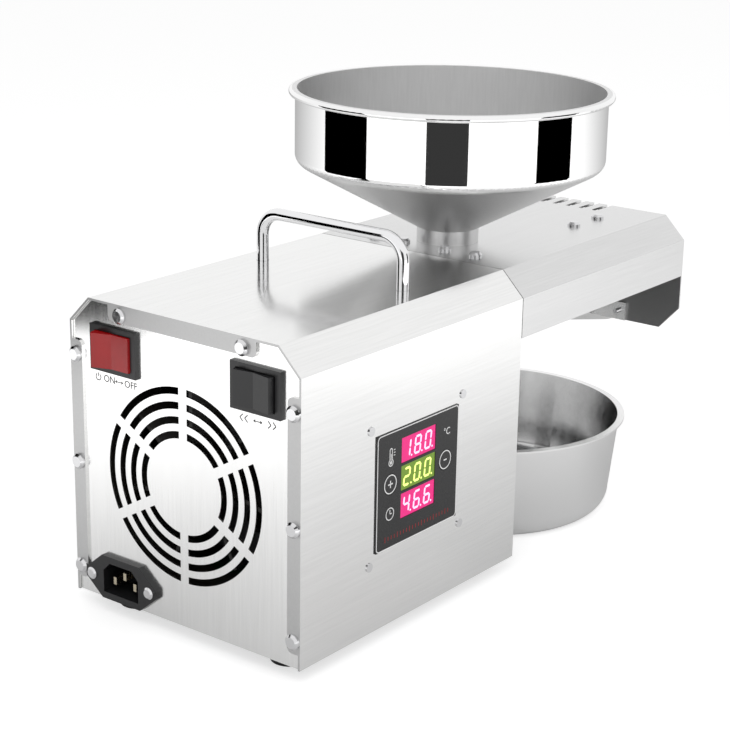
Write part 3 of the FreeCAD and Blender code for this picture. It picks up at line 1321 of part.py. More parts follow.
def cake_chute():
    """A half-round trough that slopes out through the notch, hung from two ears behind the end wall."""
    radius, length = S.chute_radius, S.chute_length
    shell = cut(tube(radius, radius - S.chute_wall, length, (0, 0, 0), X_AXIS),
                block((as_size(0), -radius, as_size(0)), (length, radius, radius)))
    sloped = doc.addObject("Part::Compound", "Sloped")
    sloped.Links = [shell]
    sloped.Placement.Rotation = FreeCAD.Rotation(Y_AXIS, S.chute_slope.value)
    bind(sloped, Placement__Base__x=S.chute_start, Placement__Base__z=S.chute_axis_start)
    clear = doc.addObject("Part::Compound", "Clear")
    clear.Links = [rod(radius - S.chute_wall, length, (0, 0, 0), X_AXIS)]
    clear.Placement.Rotation = FreeCAD.Rotation(Y_AXIS, S.chute_slope.value)
    bind(clear, Placement__Base__x=S.chute_start, Placement__Base__z=S.chute_axis_start)
    stop = hood_end - S.cover_sheet
    reach = S.notch_half + S.notch_chamfer + S.chute_ear_width
    ears = block((stop - S.chute_wall, -reach, S.hood_end_low),
                 (stop, reach, S.hood_end_low + S.chute_ear_height))
    holes = [rod(S.chute_screw_radius, S.chute_wall, (stop - S.chute_wall, y, z), X_AXIS)
             for y, z in chute_screw_places()]
    return node("cake_chute", fuse(sloped, cut(ears, clear, *holes)))


def chute_screws():
    screws = [pan_screw((hood_end, y, z), X_AXIS, S.screw_head_radius * 0.8, S.screw_head_height * 0.8,
                        S.chute_screw_radius, S.cover_sheet + S.chute_wall + 3) for y, z in chute_screw_places()]
    return node("chute_screws", *screws)


def oil_bowl():
    """A drawn bowl with a rounded foot, slightly opening walls and a flat turned-out lip."""
    foot, bend, sheet = S.bowl_foot_radius, S.bowl_corner, S.bowl_sheet
    profile = [(0, 0), Arc((foot - bend, 0), bend, True), (foot, bend), (S.bowl_radius, S.bowl_height - sheet),
               (S.bowl_radius + S.bowl_lip, S.bowl_height - sheet), (S.bowl_radius + S.bowl_lip, S.bowl_height),
               (S.bowl_radius - sheet, S.bowl_height), Arc((foot - sheet, bend), bend - sheet, False),
               (foot - bend, sheet), (0, sheet)]
    body = new_body()
    revolve(body, sketch_on(body, "XZ", as_size(0), profile))
    bind(body, Placement__Base__x=S.bowl_x)
    return node("oil_bowl", body)


# ---------------------------------------------------------------------------------------------------
# Power board
# ---------------------------------------------------------------------------------------------------

def power_board():
    """The board on the base plate that feeds the motor and the heater, on four posts."""
    x, z = S.power_board_x, S.power_board_height
    length, width = S.power_board_length, S.power_board_width
    plate = block((x - length / 2, -width / 2, z), (x + length / 2, width / 2, z + S.board_thickness))
    posts = [rod(S.spacer_radius * 0.8, z - underside - S.base_sheet, (x + dx, y, underside + S.base_sheet))
             for dx in mirrored(length / 2 - S.spacer_radius * 1.3) for y in mirrored(width / 2 - S.spacer_radius)]
    return node("power_board", fuse(plate, *posts))


def board_components():
    """The relay and the motor's capacitor, standing on the power board."""
    x, z = S.power_board_x, S.power_board_height + S.board_thickness
    relay = block((x, S.relay_offset, z), (x + S.relay_length, S.relay_offset + S.relay_width, z + S.relay_height))
    at = (x - S.capacitor_length / 2, -S.power_board_width / 4, z + S.capacitor_radius)
    return node("board_components", relay, rod(S.capacitor_radius, S.capacitor_length, at, X_AXIS))


# ---------------------------------------------------------------------------------------------------
# The whole press
# ---------------------------------------------------------------------------------------------------

wrap_cover()
rear_panel()
rear_screws()
front_panel()
base_plate()
rubber_feet()
foot_screws()
handle_nuts()
carry_handle()
switch_case("power_switch_case", S.power_switch_y)
rocker("power_rocker", S.power_switch_y, S.rocker_angle.value)
switch_case("mode_switch_case", -S.mode_switch_y)
rocker("mode_rocker", -S.mode_switch_y, 0)
inlet_socket()
inlet_pins()
inlet_screws()
display_panel()
digit_modules()
round_key("plus_key", -S.key_offset)
round_key("minus_key", S.key_offset)
display_board()
display_screws()
motor_housing()
stator_core()
stator_coils()
rotor_core()
motor_shaft()
motor_mount()
cooling_fan()
fan_shroud()
gears()
lay_shaft()
output_shaft()
ball_bearings()
thrust_bearing()
gearbox_case()
press_barrel()
barrel_bolts()
press_screw()
nose_cap()
heater_band()
heater_screw()
temperature_probe()
feed_throat()
hood()
hood_screws()
hood_bracket()
barrel_hanger()
hopper()
cake_chute()
chute_screws()
oil_bowl()
power_board()
board_components()

doc.recompute()
for thing in doc.Objects:
    if "Invalid" in thing.State or "Error" in thing.State:
        raise RuntimeError(f"{thing.Label} has failed")
for piece in nodes:
    if piece.Shape.isNull() or not piece.Shape.isValid() or not piece.Shape.Solids:
        raise RuntimeError(f"{piece.Label} has no sound shape")
os.makedirs("parts", exist_ok=True)
for piece in nodes:
    piece.Shape.exportStep(f"parts/{piece.Label}.step")
print(len(nodes), "nodes,", sum(len(piece.Shape.Solids) for piece in nodes), "solids")
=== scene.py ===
import math

import bmesh
import bpy
from mathutils import Matrix, Vector


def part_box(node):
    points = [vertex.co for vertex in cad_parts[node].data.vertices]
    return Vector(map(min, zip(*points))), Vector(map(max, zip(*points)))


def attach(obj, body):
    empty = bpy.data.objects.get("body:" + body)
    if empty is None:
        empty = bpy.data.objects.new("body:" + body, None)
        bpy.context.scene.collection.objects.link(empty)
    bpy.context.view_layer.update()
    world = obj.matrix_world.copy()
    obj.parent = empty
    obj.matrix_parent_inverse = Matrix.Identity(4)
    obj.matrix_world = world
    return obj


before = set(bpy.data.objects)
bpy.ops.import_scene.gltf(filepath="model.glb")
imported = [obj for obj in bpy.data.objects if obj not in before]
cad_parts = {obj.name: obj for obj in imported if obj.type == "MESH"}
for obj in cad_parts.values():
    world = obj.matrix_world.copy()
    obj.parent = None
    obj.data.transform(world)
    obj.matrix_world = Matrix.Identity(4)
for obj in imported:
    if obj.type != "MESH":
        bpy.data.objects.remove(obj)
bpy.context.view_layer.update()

MM = 0.001
ROOT = "frame"
BLACK = (0, 0, 0)
WHITE = (1, 1, 1)
X, Y, Z = Vector((1, 0, 0)), Vector((0, 1, 0)), Vector((0, 0, 1))


# Shader helpers

class Shader:
    """A material's node tree, with its Principled BSDF, and short calls for the nodes that feed it."""

    def __init__(self, name, colour=WHITE, metallic=0.0, roughness=0.5, **sockets):
        self.material = bpy.data.materials.new(name)
        self.material.use_nodes = True
        self.tree = self.material.node_tree
        self.surface = self.tree.nodes["Principled BSDF"]
        self.surface.inputs["Base Color"].default_value = (*colour, 1)
        self.surface.inputs["Metallic"].default_value = metallic
        self.surface.inputs["Roughness"].default_value = roughness
        for socket, value in sockets.items():
            self.surface.inputs[socket.replace("_", " ")].default_value = value

    def node(self, kind, **settings):
        made = self.tree.nodes.new(kind)
        for key, value in settings.items():
            setattr(made, key, value)
        return made

    def join(self, source, target):
        self.tree.links.new(source, target)

    def place(self, scale=(1, 1, 1)):
        """The object's own coordinates in metres, stretched by scale."""
        where = self.node("ShaderNodeTexCoord")
        mapping = self.node("ShaderNodeMapping")
        mapping.inputs["Scale"].default_value = scale
        self.join(where.outputs["Object"], mapping.inputs["Vector"])
        return mapping.outputs["Vector"]

    def noise(self, scale, stretch=(1, 1, 1), detail=3.0):
        made = self.node("ShaderNodeTexNoise")
        made.inputs["Scale"].default_value = scale
        made.inputs["Detail"].default_value = detail
        self.join(self.place(stretch), made.inputs["Vector"])
        return made.outputs["Fac"]

    def spread(self, value, low, high, start=0.3, stop=0.7):
        """Maps value from start..stop to low..high."""
        made = self.node("ShaderNodeMapRange")
        for socket, number in (("From Min", start), ("From Max", stop), ("To Min", low), ("To Max", high)):
            made.inputs[socket].default_value = number
        self.join(value, made.inputs["Value"])
        return made.outputs["Result"]

    def tint(self, value, dark, light):
        """Colours the surface between dark and light as value goes from 0 to 1."""
        ramp = self.node("ShaderNodeValToRGB")
        ramp.color_ramp.elements[0].color = (*dark, 1)
        ramp.color_ramp.elements[1].color = (*light, 1)
        self.join(value, ramp.inputs["Fac"])
        self.join(ramp.outputs["Color"], self.surface.inputs["Base Color"])
        return ramp

    def rough(self, value):
        self.join(value, self.surface.inputs["Roughness"])

    def bump(self, value, strength, distance):
        made = self.node("ShaderNodeBump")
        made.inputs["Strength"].default_value = strength
        made.inputs["Distance"].default_value = distance
        self.join(value, made.inputs["Height"])
        self.join(made.outputs["Normal"], self.surface.inputs["Normal"])

    def math(self, operation, first, second=None):
        made = self.node("ShaderNodeMath", operation=operation)
        for socket, value in zip(made.inputs, (first, second)):
            if isinstance(value, (int, float)):
                socket.default_value = value
            elif value is not None:
                self.join(value, socket)
        return made.outputs["Value"]


def shade(colour, factor):
    return tuple(min(1, part * factor) for part in colour)


def sheet_steel(name, colour, roughness, grain):
    """Satin sheet: fine streaks along the grain, and broad, faint clouding in the polish."""
    made = Shader(name, colour, metallic=1.0, roughness=roughness)
    streaks = made.noise(1, grain, detail=2)
    clouds = made.noise(9, detail=2)
    made.tint(made.spread(streaks, 0, 1), shade(colour, 0.97), shade(colour, 1.02))
    mixed = made.math("ADD", made.math("MULTIPLY", streaks, 0.5), made.math("MULTIPLY", clouds, 0.5))
    made.rough(made.spread(mixed, roughness - 0.03, roughness + 0.03))
    made.bump(streaks, 0.05, 0.00005)
    return made.material


def polished_steel(name, colour, roughness):
    """Mirror polish with the slight waviness of spun or drawn metal."""
    made = Shader(name, colour, metallic=1.0, roughness=roughness)
    waves = made.noise(14, detail=1)
    made.tint(made.spread(waves, 0, 1), shade(colour, 0.98), shade(colour, 1.02))
    made.rough(made.spread(made.noise(300, detail=2), roughness * 0.8, roughness * 1.3))
    made.bump(waves, 0.03, 0.0006)
    return made.material


def turned_steel(name, colour, roughness):
    """Turned or cast metal with fine tool marks and blotches."""
    made = Shader(name, colour, metallic=1.0, roughness=roughness)
    marks = made.noise(1, (2600, 500, 500), detail=2)
    made.tint(made.spread(made.noise(60), 0, 1), shade(colour, 0.85), colour)
    made.rough(made.spread(marks, roughness - 0.05, roughness + 0.08))
    made.bump(marks, 0.08, 0.0001)
    return made.material


def moulded(name, colour, roughness, pits=0.05, **sockets):
    """Moulded plastic or rubber: a fine spark-eroded texture and slightly uneven gloss."""
    made = Shader(name, colour, roughness=roughness, **sockets)
    fine = made.noise(1800, detail=2)
    made.tint(made.spread(made.noise(45), 0, 1), shade(colour, 0.85), shade(colour, 1.15))
    made.rough(made.spread(fine, roughness - 0.04, roughness + 0.06))
    made.bump(fine, pits, 0.0001)
    return made.material


def printed(name, colour, glow=0.0):
    """Screen-printed ink, glowing faintly as painted light where glow is given, or a lit segment where it
    glows.
    """
    made = Shader(name, colour, roughness=0.5)
    made.tint(made.spread(made.noise(900), 0, 1), shade(colour, 0.94), colour)
    made.surface.inputs["Emission Color"].default_value = (*colour, 1)
    made.surface.inputs["Emission Strength"].default_value = glow
    return made.material


STEEL = (0.86, 0.86, 0.855)
MATERIALS = {
    "cover": sheet_steel("satin_cover", STEEL, 0.14, (25, 900, 900)),
    # The cover's own steel, made darker and rougher as painted shade on the bent flanges that face the
    # rear.
    "painted_shade_flange": sheet_steel("satin_flange_painted_shade", (0.56, 0.56, 0.56), 0.5, (900, 900, 900)),
    "panel": sheet_steel("satin_panel", (0.92, 0.92, 0.915), 0.22, (900, 900, 25)),
    # The hood's steel, made darker all over as painted shade.
    "hood": sheet_steel("satin_hood_painted_shade", (0.7, 0.7, 0.7), 0.25, (25, 900, 900)),
    # The inner face of the hood's end wall, dark grey as painted shade.
    "painted_shade_end_wall": sheet_steel("hood_end_painted_shade", (0.3, 0.3, 0.3), 0.45, (900, 900, 900)),
    "mirror": polished_steel("polished_hopper", (0.9, 0.9, 0.9), 0.03),
    "spun": sheet_steel("spun_hopper", (0.72, 0.72, 0.72), 0.36, (700, 700, 60)),
    "bowl": polished_steel("polished_bowl", (0.84, 0.84, 0.84), 0.16),
    "chrome": polished_steel("chrome_bar", (0.85, 0.85, 0.86), 0.07),
    "screw": polished_steel("bright_screws", (0.72, 0.72, 0.73), 0.16),
    "zinc": sheet_steel("zinc_sheet", (0.55, 0.56, 0.57), 0.42, (300, 300, 300)),
    "turned": turned_steel("turned_steel", (0.55, 0.55, 0.55), 0.3),
    "cast": turned_steel("cast_case", (0.4, 0.41, 0.42), 0.5),
    "rubber": moulded("rubber", (0.012, 0.012, 0.012), 0.62, 0.15),
    "black": moulded("black_plastic", (0.012, 0.012, 0.013), 0.32),
    "fan": moulded("fan_plastic", (0.02, 0.018, 0.015), 0.35),
    "red": moulded("red_plastic", (0.42, 0.006, 0.008), 0.2, 0.03),
    "gloss": moulded("gloss_panel", (0.003, 0.003, 0.004), 0.3, 0.02),
    "green_board": moulded("circuit_board", (0.02, 0.13, 0.06), 0.4),
    "component": moulded("component_body", (0.03, 0.04, 0.06), 0.4),
    "brass": turned_steel("plated_pins", (0.62, 0.55, 0.42), 0.25),
    "lamination": turned_steel("laminated_iron", (0.2, 0.19, 0.18), 0.45),
    "copper": turned_steel("enamelled_copper", (0.45, 0.18, 0.06), 0.35),
    "paint": moulded("motor_paint", (0.03, 0.03, 0.032), 0.4),
    # White ink glows faintly: painted light.
    "white_ink_painted_glow": printed("white_ink_painted_glow", (0.85, 0.85, 0.85), 0.15),
    "black_ink": printed("black_ink", (0.015, 0.015, 0.015)),
    # Red ink glows faintly: painted light.
    "red_ink_painted_glow": printed("red_ink_painted_glow", (0.22, 0.004, 0.006), 0.3),
}

NODE_MATERIALS = {
    "cover": ("wrap_cover",),
    "panel": ("rear_panel", "cake_chute", "heater_band"),
    "hood": ("hood",),
    "mirror": ("hopper",),
    "bowl": ("oil_bowl",),
    "chrome": ("carry_handle",),
    "screw": ("rear_screws", "foot_screws", "handle_nuts", "inlet_screws", "display_screws", "case_screws",
              "barrel_bolts", "heater_screw", "hood_screws", "chute_screws"),
    "zinc": ("front_panel", "base_plate", "motor_mount", "hood_bracket", "barrel_hanger"),
    "turned": ("motor_shaft", "motor_pinion", "first_gear", "second_pinion", "output_gear", "lay_shaft",
               "output_shaft", "ball_bearings", "thrust_bearing", "press_barrel", "press_screw", "nose_cap",
               "feed_throat"),
    "cast": ("gearbox_rear_case", "gearbox_front_case"),
    "rubber": ("rubber_feet",),
    "black": ("power_switch_case", "mode_switch_case", "mode_rocker", "inlet_socket"),
    "fan": ("cooling_fan", "fan_shroud"),
    "red": ("power_rocker",),
    "gloss": ("display_panel", "plus_key", "minus_key"),
    "green_board": ("display_board", "power_board"),
    "component": ("board_components",),
    "brass": ("inlet_pins", "temperature_probe"),
    "lamination": ("stator_core", "rotor_core"),
    "copper": ("stator_coils",),
    "paint": ("motor_housing",),
}

WINDOW_STEP = 14.6 * MM
PINK = (0.62, 0.005, 0.16)
GREEN = (0.11, 0.2, 0.01)


def window_material(middle):
    """Smoked windows: the upper and lower ones pink, the middle one green, each glowing in its colour as
    painted light.
    """
    made = Shader("display_windows", PINK, roughness=0.3)
    split = made.node("ShaderNodeSeparateXYZ")
    made.join(made.place(), split.inputs["Vector"])
    offset = made.math("ABSOLUTE", made.math("SUBTRACT", split.outputs["Z"], middle))
    ramp = made.tint(made.math("DIVIDE", offset, WINDOW_STEP), GREEN, PINK)
    ramp.color_ramp.interpolation = "CONSTANT"
    ramp.color_ramp.elements[1].position = 0.5
    # The windows glow in their own colours: painted light.
    made.join(ramp.outputs["Color"], made.surface.inputs["Emission Color"])
    made.surface.inputs["Emission Strength"].default_value = 0.75
    return made.material


def dress_faces(node, key, chosen):
    """Gives a second material to the faces of a CAD node that the test chooses by centre and normal."""
    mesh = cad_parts[node].data
    mesh.materials.append(MATERIALS[key])
    index = len(mesh.materials) - 1
    for face in mesh.polygons:
        if chosen(face.center, face.normal):
            face.material_index = index


FACES_REAR = -0.9
FLANGE_REACH = 2 * MM
END_WALL_REACH = 5 * MM
BAND_HEIGHT = 38 * MM


def dress_parts():
    """Bent flanges and the hood's end wall in darker steel as painted shade, and the hopper's satin inside
    and cone.
    """
    flange_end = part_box("rear_panel")[0].x + FLANGE_REACH
    # The cover's flange faces toward the rear take the darker steel: painted shade.
    dress_faces("wrap_cover", "painted_shade_flange",
                lambda centre, normal: normal.x < FACES_REAR and centre.x < flange_end)
    # The hood's inner end-wall faces toward the rear take dark grey steel: painted shade.
    wall_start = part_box("hood")[1].x - END_WALL_REACH
    dress_faces("hood", "painted_shade_end_wall",
                lambda centre, normal: normal.x < FACES_REAR and centre.x > wall_start)
    low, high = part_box("hopper")
    middle = (low + high) / 2
    band = high.z - BAND_HEIGHT

    def satin(centre, normal):
        outward = (centre - middle).to_2d().dot(normal.to_2d()) > 0
        return centre.z < band or not outward

    dress_faces("hopper", "spun", satin)


def dress_nodes():
    low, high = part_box("digit_modules")
    MATERIALS["windows"] = window_material((low.z + high.z) / 2)
    for key, names in {**NODE_MATERIALS, "windows": ("digit_modules",)}.items():
        for name in names:
            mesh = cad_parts[name].data
            mesh.materials.clear()
            mesh.materials.append(MATERIALS[key])


# Flat pieces: marks and trims, drawn on a face in its own two directions

class Face:
    """A flat face: a point on it, its right and up directions, and so its outward normal."""

    def __init__(self, origin, right, up):
        self.origin = Vector(origin)
        self.right = Vector(right)
        self.up = Vector(up)
        self.normal = self.right.cross(self.up)

    def at(self, across, high, lift=0.0):
        return self.origin + self.right * across + self.up * high + self.normal * lift


SUNK = 0.02 * MM
INK_THICKNESS = 0.06 * MM


def flat_piece(name, face, outlines, material, body=ROOT, thickness=INK_THICKNESS):
    """Thin raised shapes on a face; each outline is a loop of points in the face's directions."""
    shape = bmesh.new()
    for outline in outlines:
        corners = [shape.verts.new(face.at(across, high, -SUNK)) for across, high in outline]
        shape.faces.new(corners)
    bmesh.ops.recalc_face_normals(shape, faces=shape.faces)
    raised = bmesh.ops.extrude_face_region(shape, geom=shape.faces[:])
    moved = [item for item in raised["geom"] if isinstance(item, bmesh.types.BMVert)]
    bmesh.ops.translate(shape, verts=moved, vec=face.normal * thickness)
    bmesh.ops.recalc_face_normals(shape, faces=shape.faces)
    mesh = bpy.data.meshes.new(name)
    shape.to_mesh(mesh)
    shape.free()
    mesh.materials.append(material)
    piece = bpy.data.objects.new(name, mesh)
    bpy.context.scene.collection.objects.link(piece)
    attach(piece, body)


def bar(start, end, width):
    """A straight stroke with square ends."""
    a, b = Vector(start), Vector(end)
    side = (b - a).normalized().orthogonal() * (width / 2)
    return [tuple(a + side), tuple(b + side), tuple(b - side), tuple(a - side)]


def stroke(points, width):
    """A bent stroke as one straight bar for each pair of points."""
    return [bar(a, b, width) for a, b in zip(points, points[1:])]


def circle(centre, radius, steps=40, start=0.0, sweep=math.tau):
    full = sweep >= math.tau - 1e-6
    count = steps if full else steps + 1
    return [(centre[0] + radius * math.cos(start + sweep * k / steps),
             centre[1] + radius * math.sin(start + sweep * k / steps)) for k in range(count)]


def ring(centre, radius, width, steps=40, start=0.0, sweep=math.tau):
    """A ring or an arc as one strip of short quadrilaterals."""
    inner = circle(centre, radius - width / 2, steps, start, sweep)
    outer = circle(centre, radius + width / 2, steps, start, sweep)
    closed = sweep >= math.tau - 1e-6
    pairs = range(len(inner)) if closed else range(len(inner) - 1)
    return [[inner[k], outer[k], outer[(k + 1) % len(outer)], inner[(k + 1) % len(inner)]] for k in pairs]


def words(name, text, face, at, size, material):
    """Printed characters on a face; at is the middle of the line."""
    curve = bpy.data.curves.new(name, "FONT")
    curve.body = text
    curve.size = size
    curve.align_x = "CENTER"
    curve.align_y = "CENTER"
    curve.extrude = INK_THICKNESS / 2
    source = bpy.data.objects.new(name + "_curve", curve)
    bpy.context.scene.collection.objects.link(source)
    bpy.context.view_layer.update()
    mesh = bpy.data.meshes.new_from_object(source)
    bpy.data.objects.remove(source)
    turn = Matrix((face.right, face.up, face.normal)).transposed().to_4x4()
    mesh.transform(Matrix.Translation(face.at(*at, INK_THICKNESS / 2)) @ turn)
    mesh.materials.clear()
    mesh.materials.append(material)
    piece = bpy.data.objects.new(name, mesh)
    bpy.context.scene.collection.objects.link(piece)
    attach(piece, ROOT)


# Display

SEGMENTS = {
    "0": "abcdef", "1": "bc", "2": "abged", "3": "abgcd", "4": "fgbc", "5": "afgcd",
    "6": "afgedc", "7": "abc", "8": "abcdefg", "9": "abcdfg",
}


def segment(letter, width, height, thick):
    """One of a digit's seven bars, pointed at both ends."""
    half_w, half_h, gap = width / 2, height / 2, thick * 0.12
    ends = {
        "a": ((-half_w, half_h), (half_w, half_h)), "b": ((half_w, half_h), (half_w, 0)),
        "c": ((half_w, 0), (half_w, -half_h)), "d": ((half_w, -half_h), (-half_w, -half_h)),
        "e": ((-half_w, -half_h), (-half_w, 0)), "f": ((-half_w, 0), (-half_w, half_h)),
        "g": ((-half_w, 0), (half_w, 0)),
    }[letter]
    a, b = Vector(ends[0]), Vector(ends[1])
    along = (b - a).normalized()
    side = along.orthogonal() * (thick / 2)
    a, b = a + along * gap, b - along * gap
    inner_a, inner_b = a + along * thick / 2, b - along * thick / 2
    return [a, inner_a + side, inner_b + side, b, inner_b - side, inner_a - side]


def digits(name, text, face, middle, material):
    """Seven-segment digits, leaning a little to the right, each followed by its point."""
    pitch, width, height, thick, lean = 8.6 * MM, 4.4 * MM, 8.6 * MM, 1.15 * MM, 0.12
    outlines = []
    for place, character in enumerate(text):
        centre = middle[0] + (place - (len(text) - 1) / 2) * pitch
        for letter in SEGMENTS[character]:
            outlines.append([(centre + p.x + lean * p.y, middle[1] + p.y)
                             for p in segment(letter, width, height, thick)])
        outlines.append(circle((centre + width * 0.78, middle[1] - height / 2), 0.55 * MM, 12))
    flat_piece(name, face, outlines, material, thickness=2 * INK_THICKNESS)


def display_face():
    low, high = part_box("display_panel")
    return Face(((low.x + high.x) / 2, low.y, (low.z + high.z) / 2), X, Z)


def display_border(face):
    """The panel's thin white printed border, with small rounded corners."""
    low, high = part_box("display_panel")
    half_x, half_z, bend, width = (high.x - low.x) / 2, (high.z - low.z) / 2, 2.2 * MM, 0.55 * MM
    centre_x, centre_z = half_x - width / 2, half_z - width / 2
    loops = []
    for sign_x, sign_z, start in ((1, 1, 0), (-1, 1, 90), (-1, -1, 180), (1, -1, 270)):
        corner = (sign_x * (centre_x - bend), sign_z * (centre_z - bend))
        loops += ring(corner, bend, width, 8, math.radians(start), math.radians(90))
    for sign in (1, -1):
        loops.append(bar((-centre_x + bend, sign * centre_z), (centre_x - bend, sign * centre_z), width))
        loops.append(bar((sign * centre_x, -centre_z + bend), (sign * centre_x, centre_z - bend), width))
    flat_piece("display_border", face, loops, MATERIALS["white_ink_painted_glow"])


def display_digits():
    low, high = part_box("digit_modules")
    glass = Face(((low.x + high.x) / 2, low.y, (low.z + high.z) / 2), X, Z)
    pink = printed("lit_pink", (1.0, 0.55, 0.75), 1.0)
    green = printed("lit_green", (0.85, 1.0, 0.25), 1.0)
    for row, (text, ink) in enumerate((("180", pink), ("200", green), ("466", pink))):
        digits(f"digits_{row}", text, glass, (-0.6 * MM, (1 - row) * WINDOW_STEP), ink)


def key_signs():
    """A ring with a plus or a minus in it on each key, riding on that key."""
    for label, reach in (("plus", 1.9 * MM), ("minus", 1.3 * MM)):
        low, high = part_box(f"{label}_key")
        key = Face(((low.x + high.x) / 2, low.y, (low.z + high.z) / 2), X, Z)
        shapes = ring((0, 0), 4.75 * MM, 0.6 * MM) + [bar((-reach, 0), (reach, 0), 0.7 * MM)]
        if label == "plus":
            shapes.append(bar((0, -reach), (0, reach), 0.7 * MM))
        flat_piece(f"{label}_sign", key, shapes, MATERIALS["white_ink_painted_glow"], body=f"{label}_key_body")


def thermometer_sign(face):
    """A bulb, a stem with a rounded top, the column in it, and three marks beside it."""
    middle, line = -22.8 * MM, 17.6 * MM
    bulb = (middle, line - 3 * MM)
    top, half, width = line + 3.4 * MM, 0.95 * MM, 0.5 * MM
    shapes = ring(bulb, 1.7 * MM, width, 28, math.radians(125), math.radians(290))
    for across in (middle - half, middle + half):
        shapes.append(bar((across, line - 1.6 * MM), (across, top), width))
    shapes += ring((middle, top), half, width, 12, 0, math.pi)
    shapes.append(circle(bulb, 0.9 * MM, 16))
    shapes.append(bar(bulb, (middle, line + 1.6 * MM), 0.45 * MM))
    for tick in range(3):
        height = line + (0.4 + 1.4 * tick) * MM
        shapes.append(bar((middle + 2.1 * MM, height), (middle + 3.3 * MM, height), 0.4 * MM))
    flat_piece("thermometer_sign", face, shapes, MATERIALS["white_ink_painted_glow"])


def clock_sign(face):
    centre = (-22.9 * MM, -12.2 * MM)
    shapes = ring(centre, 3.1 * MM, 0.5 * MM, 36)
    shapes.append(bar(centre, (centre[0], centre[1] + 2.1 * MM), 0.5 * MM))
    shapes.append(bar(centre, (centre[0] + 1.5 * MM, centre[1]), 0.5 * MM))
    flat_piece("clock_sign", face, shapes, MATERIALS["white_ink_painted_glow"])


def tick_row(face):
    """A row of red ticks along the panel's lower edge, every fourth one taller."""
    count, length, line = 22, 53 * MM, -25 * MM
    shapes = []
    for k in range(count):
        across = length * (k / (count - 1) - 0.5)
        half = (1.0 if k % 4 else 1.5) * MM
        shapes.append(bar((across, line - half), (across, line + half), 0.55 * MM))
    flat_piece("tick_row", face, shapes, MATERIALS["red_ink_painted_glow"])


def display_marks(face):
    key_signs()
    words("celsius_sign", "°C", face, (23.7 * MM, 18.3 * MM), 5.2 * MM, MATERIALS["white_ink_painted_glow"])
    thermometer_sign(face)
    clock_sign(face)
    tick_row(face)


# Rear panel

def rear_face():
    low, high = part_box("rear_panel")
    return Face((low.x, 0, 0), -Y, Z)


def arrow(start, end, head, width):
    """A line with a point at both ends."""
    a, b = Vector(start), Vector(end)
    along = (b - a).normalized()
    side = along.orthogonal() * head * 0.6
    shapes = [bar(a, b, width)]
    for tip, back in ((a, along), (b, -along)):
        for turn in (side, -side):
            shapes.append(bar(tip, tip + back * head + turn, width))
    return shapes


def sign_place(node):
    """Middle of the signs under a switch, across and up the rear panel."""
    low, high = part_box(node)
    return -(low.y + high.y) / 2, low.z - 4.2 * MM


def double_arrow(middle, line):
    half, head, width = 2.6 * MM, 1.1 * MM, 0.4 * MM
    return arrow((middle - half, line), (middle + half, line), head, width)


def power_marks(face):
    """A power sign and the words ON and OFF, with a double arrow between them."""
    ink = MATERIALS["black_ink"]
    middle, line = sign_place("power_switch_case")
    words("on_word", "ON", face, (middle - 4.5 * MM, line), 5 * MM, ink)
    words("off_word", "OFF", face, (middle + 10.2 * MM, line), 5 * MM, ink)
    flat_piece("on_off_arrow", face, double_arrow(middle + 2.2 * MM, line), ink)
    across = middle - 12.2 * MM
    shapes = ring((across, line), 1.7 * MM, 0.5 * MM, 26, math.radians(125), math.radians(290))
    shapes.append(bar((across, line + 0.3 * MM), (across, line + 2.2 * MM), 0.5 * MM))
    flat_piece("power_sign", face, shapes, ink)


def mode_marks(face):
    """A double arrow with two chevrons on each side of it, pointing outwards."""
    middle, line = sign_place("mode_switch_case")
    shapes = double_arrow(middle, line)
    for side in (-1, 1):
        for reach in (8.1, 11.1):
            tip = middle + side * reach * MM
            back = tip - side * 1.8 * MM
            shapes += stroke([(back, line + 1.8 * MM), (tip, line), (back, line - 1.8 * MM)], 0.5 * MM)
    flat_piece("mode_arrows", face, shapes, MATERIALS["black_ink"])


# Studio

def light(name, place, aim, size, power):
    lamp = bpy.data.lights.new(name, "AREA")
    lamp.shape = "RECTANGLE"
    lamp.size, lamp.size_y = size
    lamp.energy = power
    holder = bpy.data.objects.new(name, lamp)
    holder.location = place
    holder.rotation_euler = (Vector(aim) - Vector(place)).to_track_quat("-Z", "Y").to_euler()
    holder.visible_glossy = False
    holder.visible_camera = False
    bpy.context.scene.collection.objects.link(holder)


def seen_directly(shader):
    """1 for camera, glossy and transmission rays, 0 for the rays that light the object."""
    path = shader.node("ShaderNodeLightPath")
    either = shader.math("MAXIMUM", path.outputs["Is Camera Ray"], path.outputs["Is Glossy Ray"])
    return shader.math("MAXIMUM", either, path.outputs["Is Transmission Ray"]), path


def floor_distance(shader):
    """How far a place on the floor is from the housing and hood, in metres."""
    split = shader.node("ShaderNodeSeparateXYZ")
    shader.join(shader.place(), split.inputs["Vector"])
    low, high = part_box("wrap_cover")
    sides = []
    for axis, start, stop in (("X", low.x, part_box("hood")[1].x), ("Y", low.y, high.y)):
        offset = shader.math("ABSOLUTE", shader.math("SUBTRACT", split.outputs[axis], (start + stop) / 2))
        sides.append(shader.math("MAXIMUM", shader.math("SUBTRACT", offset, (stop - start) / 2), 0))
    return shader.math("ADD", *sides)


LOOK_DIRECTION = math.radians(37.7)


def behind_share(shader):
    """1 straight behind the hopper as the lens looks, 0 beside it, -1 in front."""
    low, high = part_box("hopper")
    offset = shader.node("ShaderNodeVectorMath", operation="SUBTRACT")
    shader.join(shader.place(), offset.inputs[0])
    offset.inputs[1].default_value = ((low.x + high.x) / 2, (low.y + high.y) / 2, 0)
    unit = shader.node("ShaderNodeVectorMath", operation="NORMALIZE")
    shader.join(offset.outputs["Vector"], unit.inputs[0])
    share = shader.node("ShaderNodeVectorMath", operation="DOT_PRODUCT")
    shader.join(unit.outputs["Vector"], share.inputs[0])
    share.inputs[1].default_value = (math.cos(LOOK_DIRECTION), math.sin(LOOK_DIRECTION), 0)
    return share.outputs["Value"]


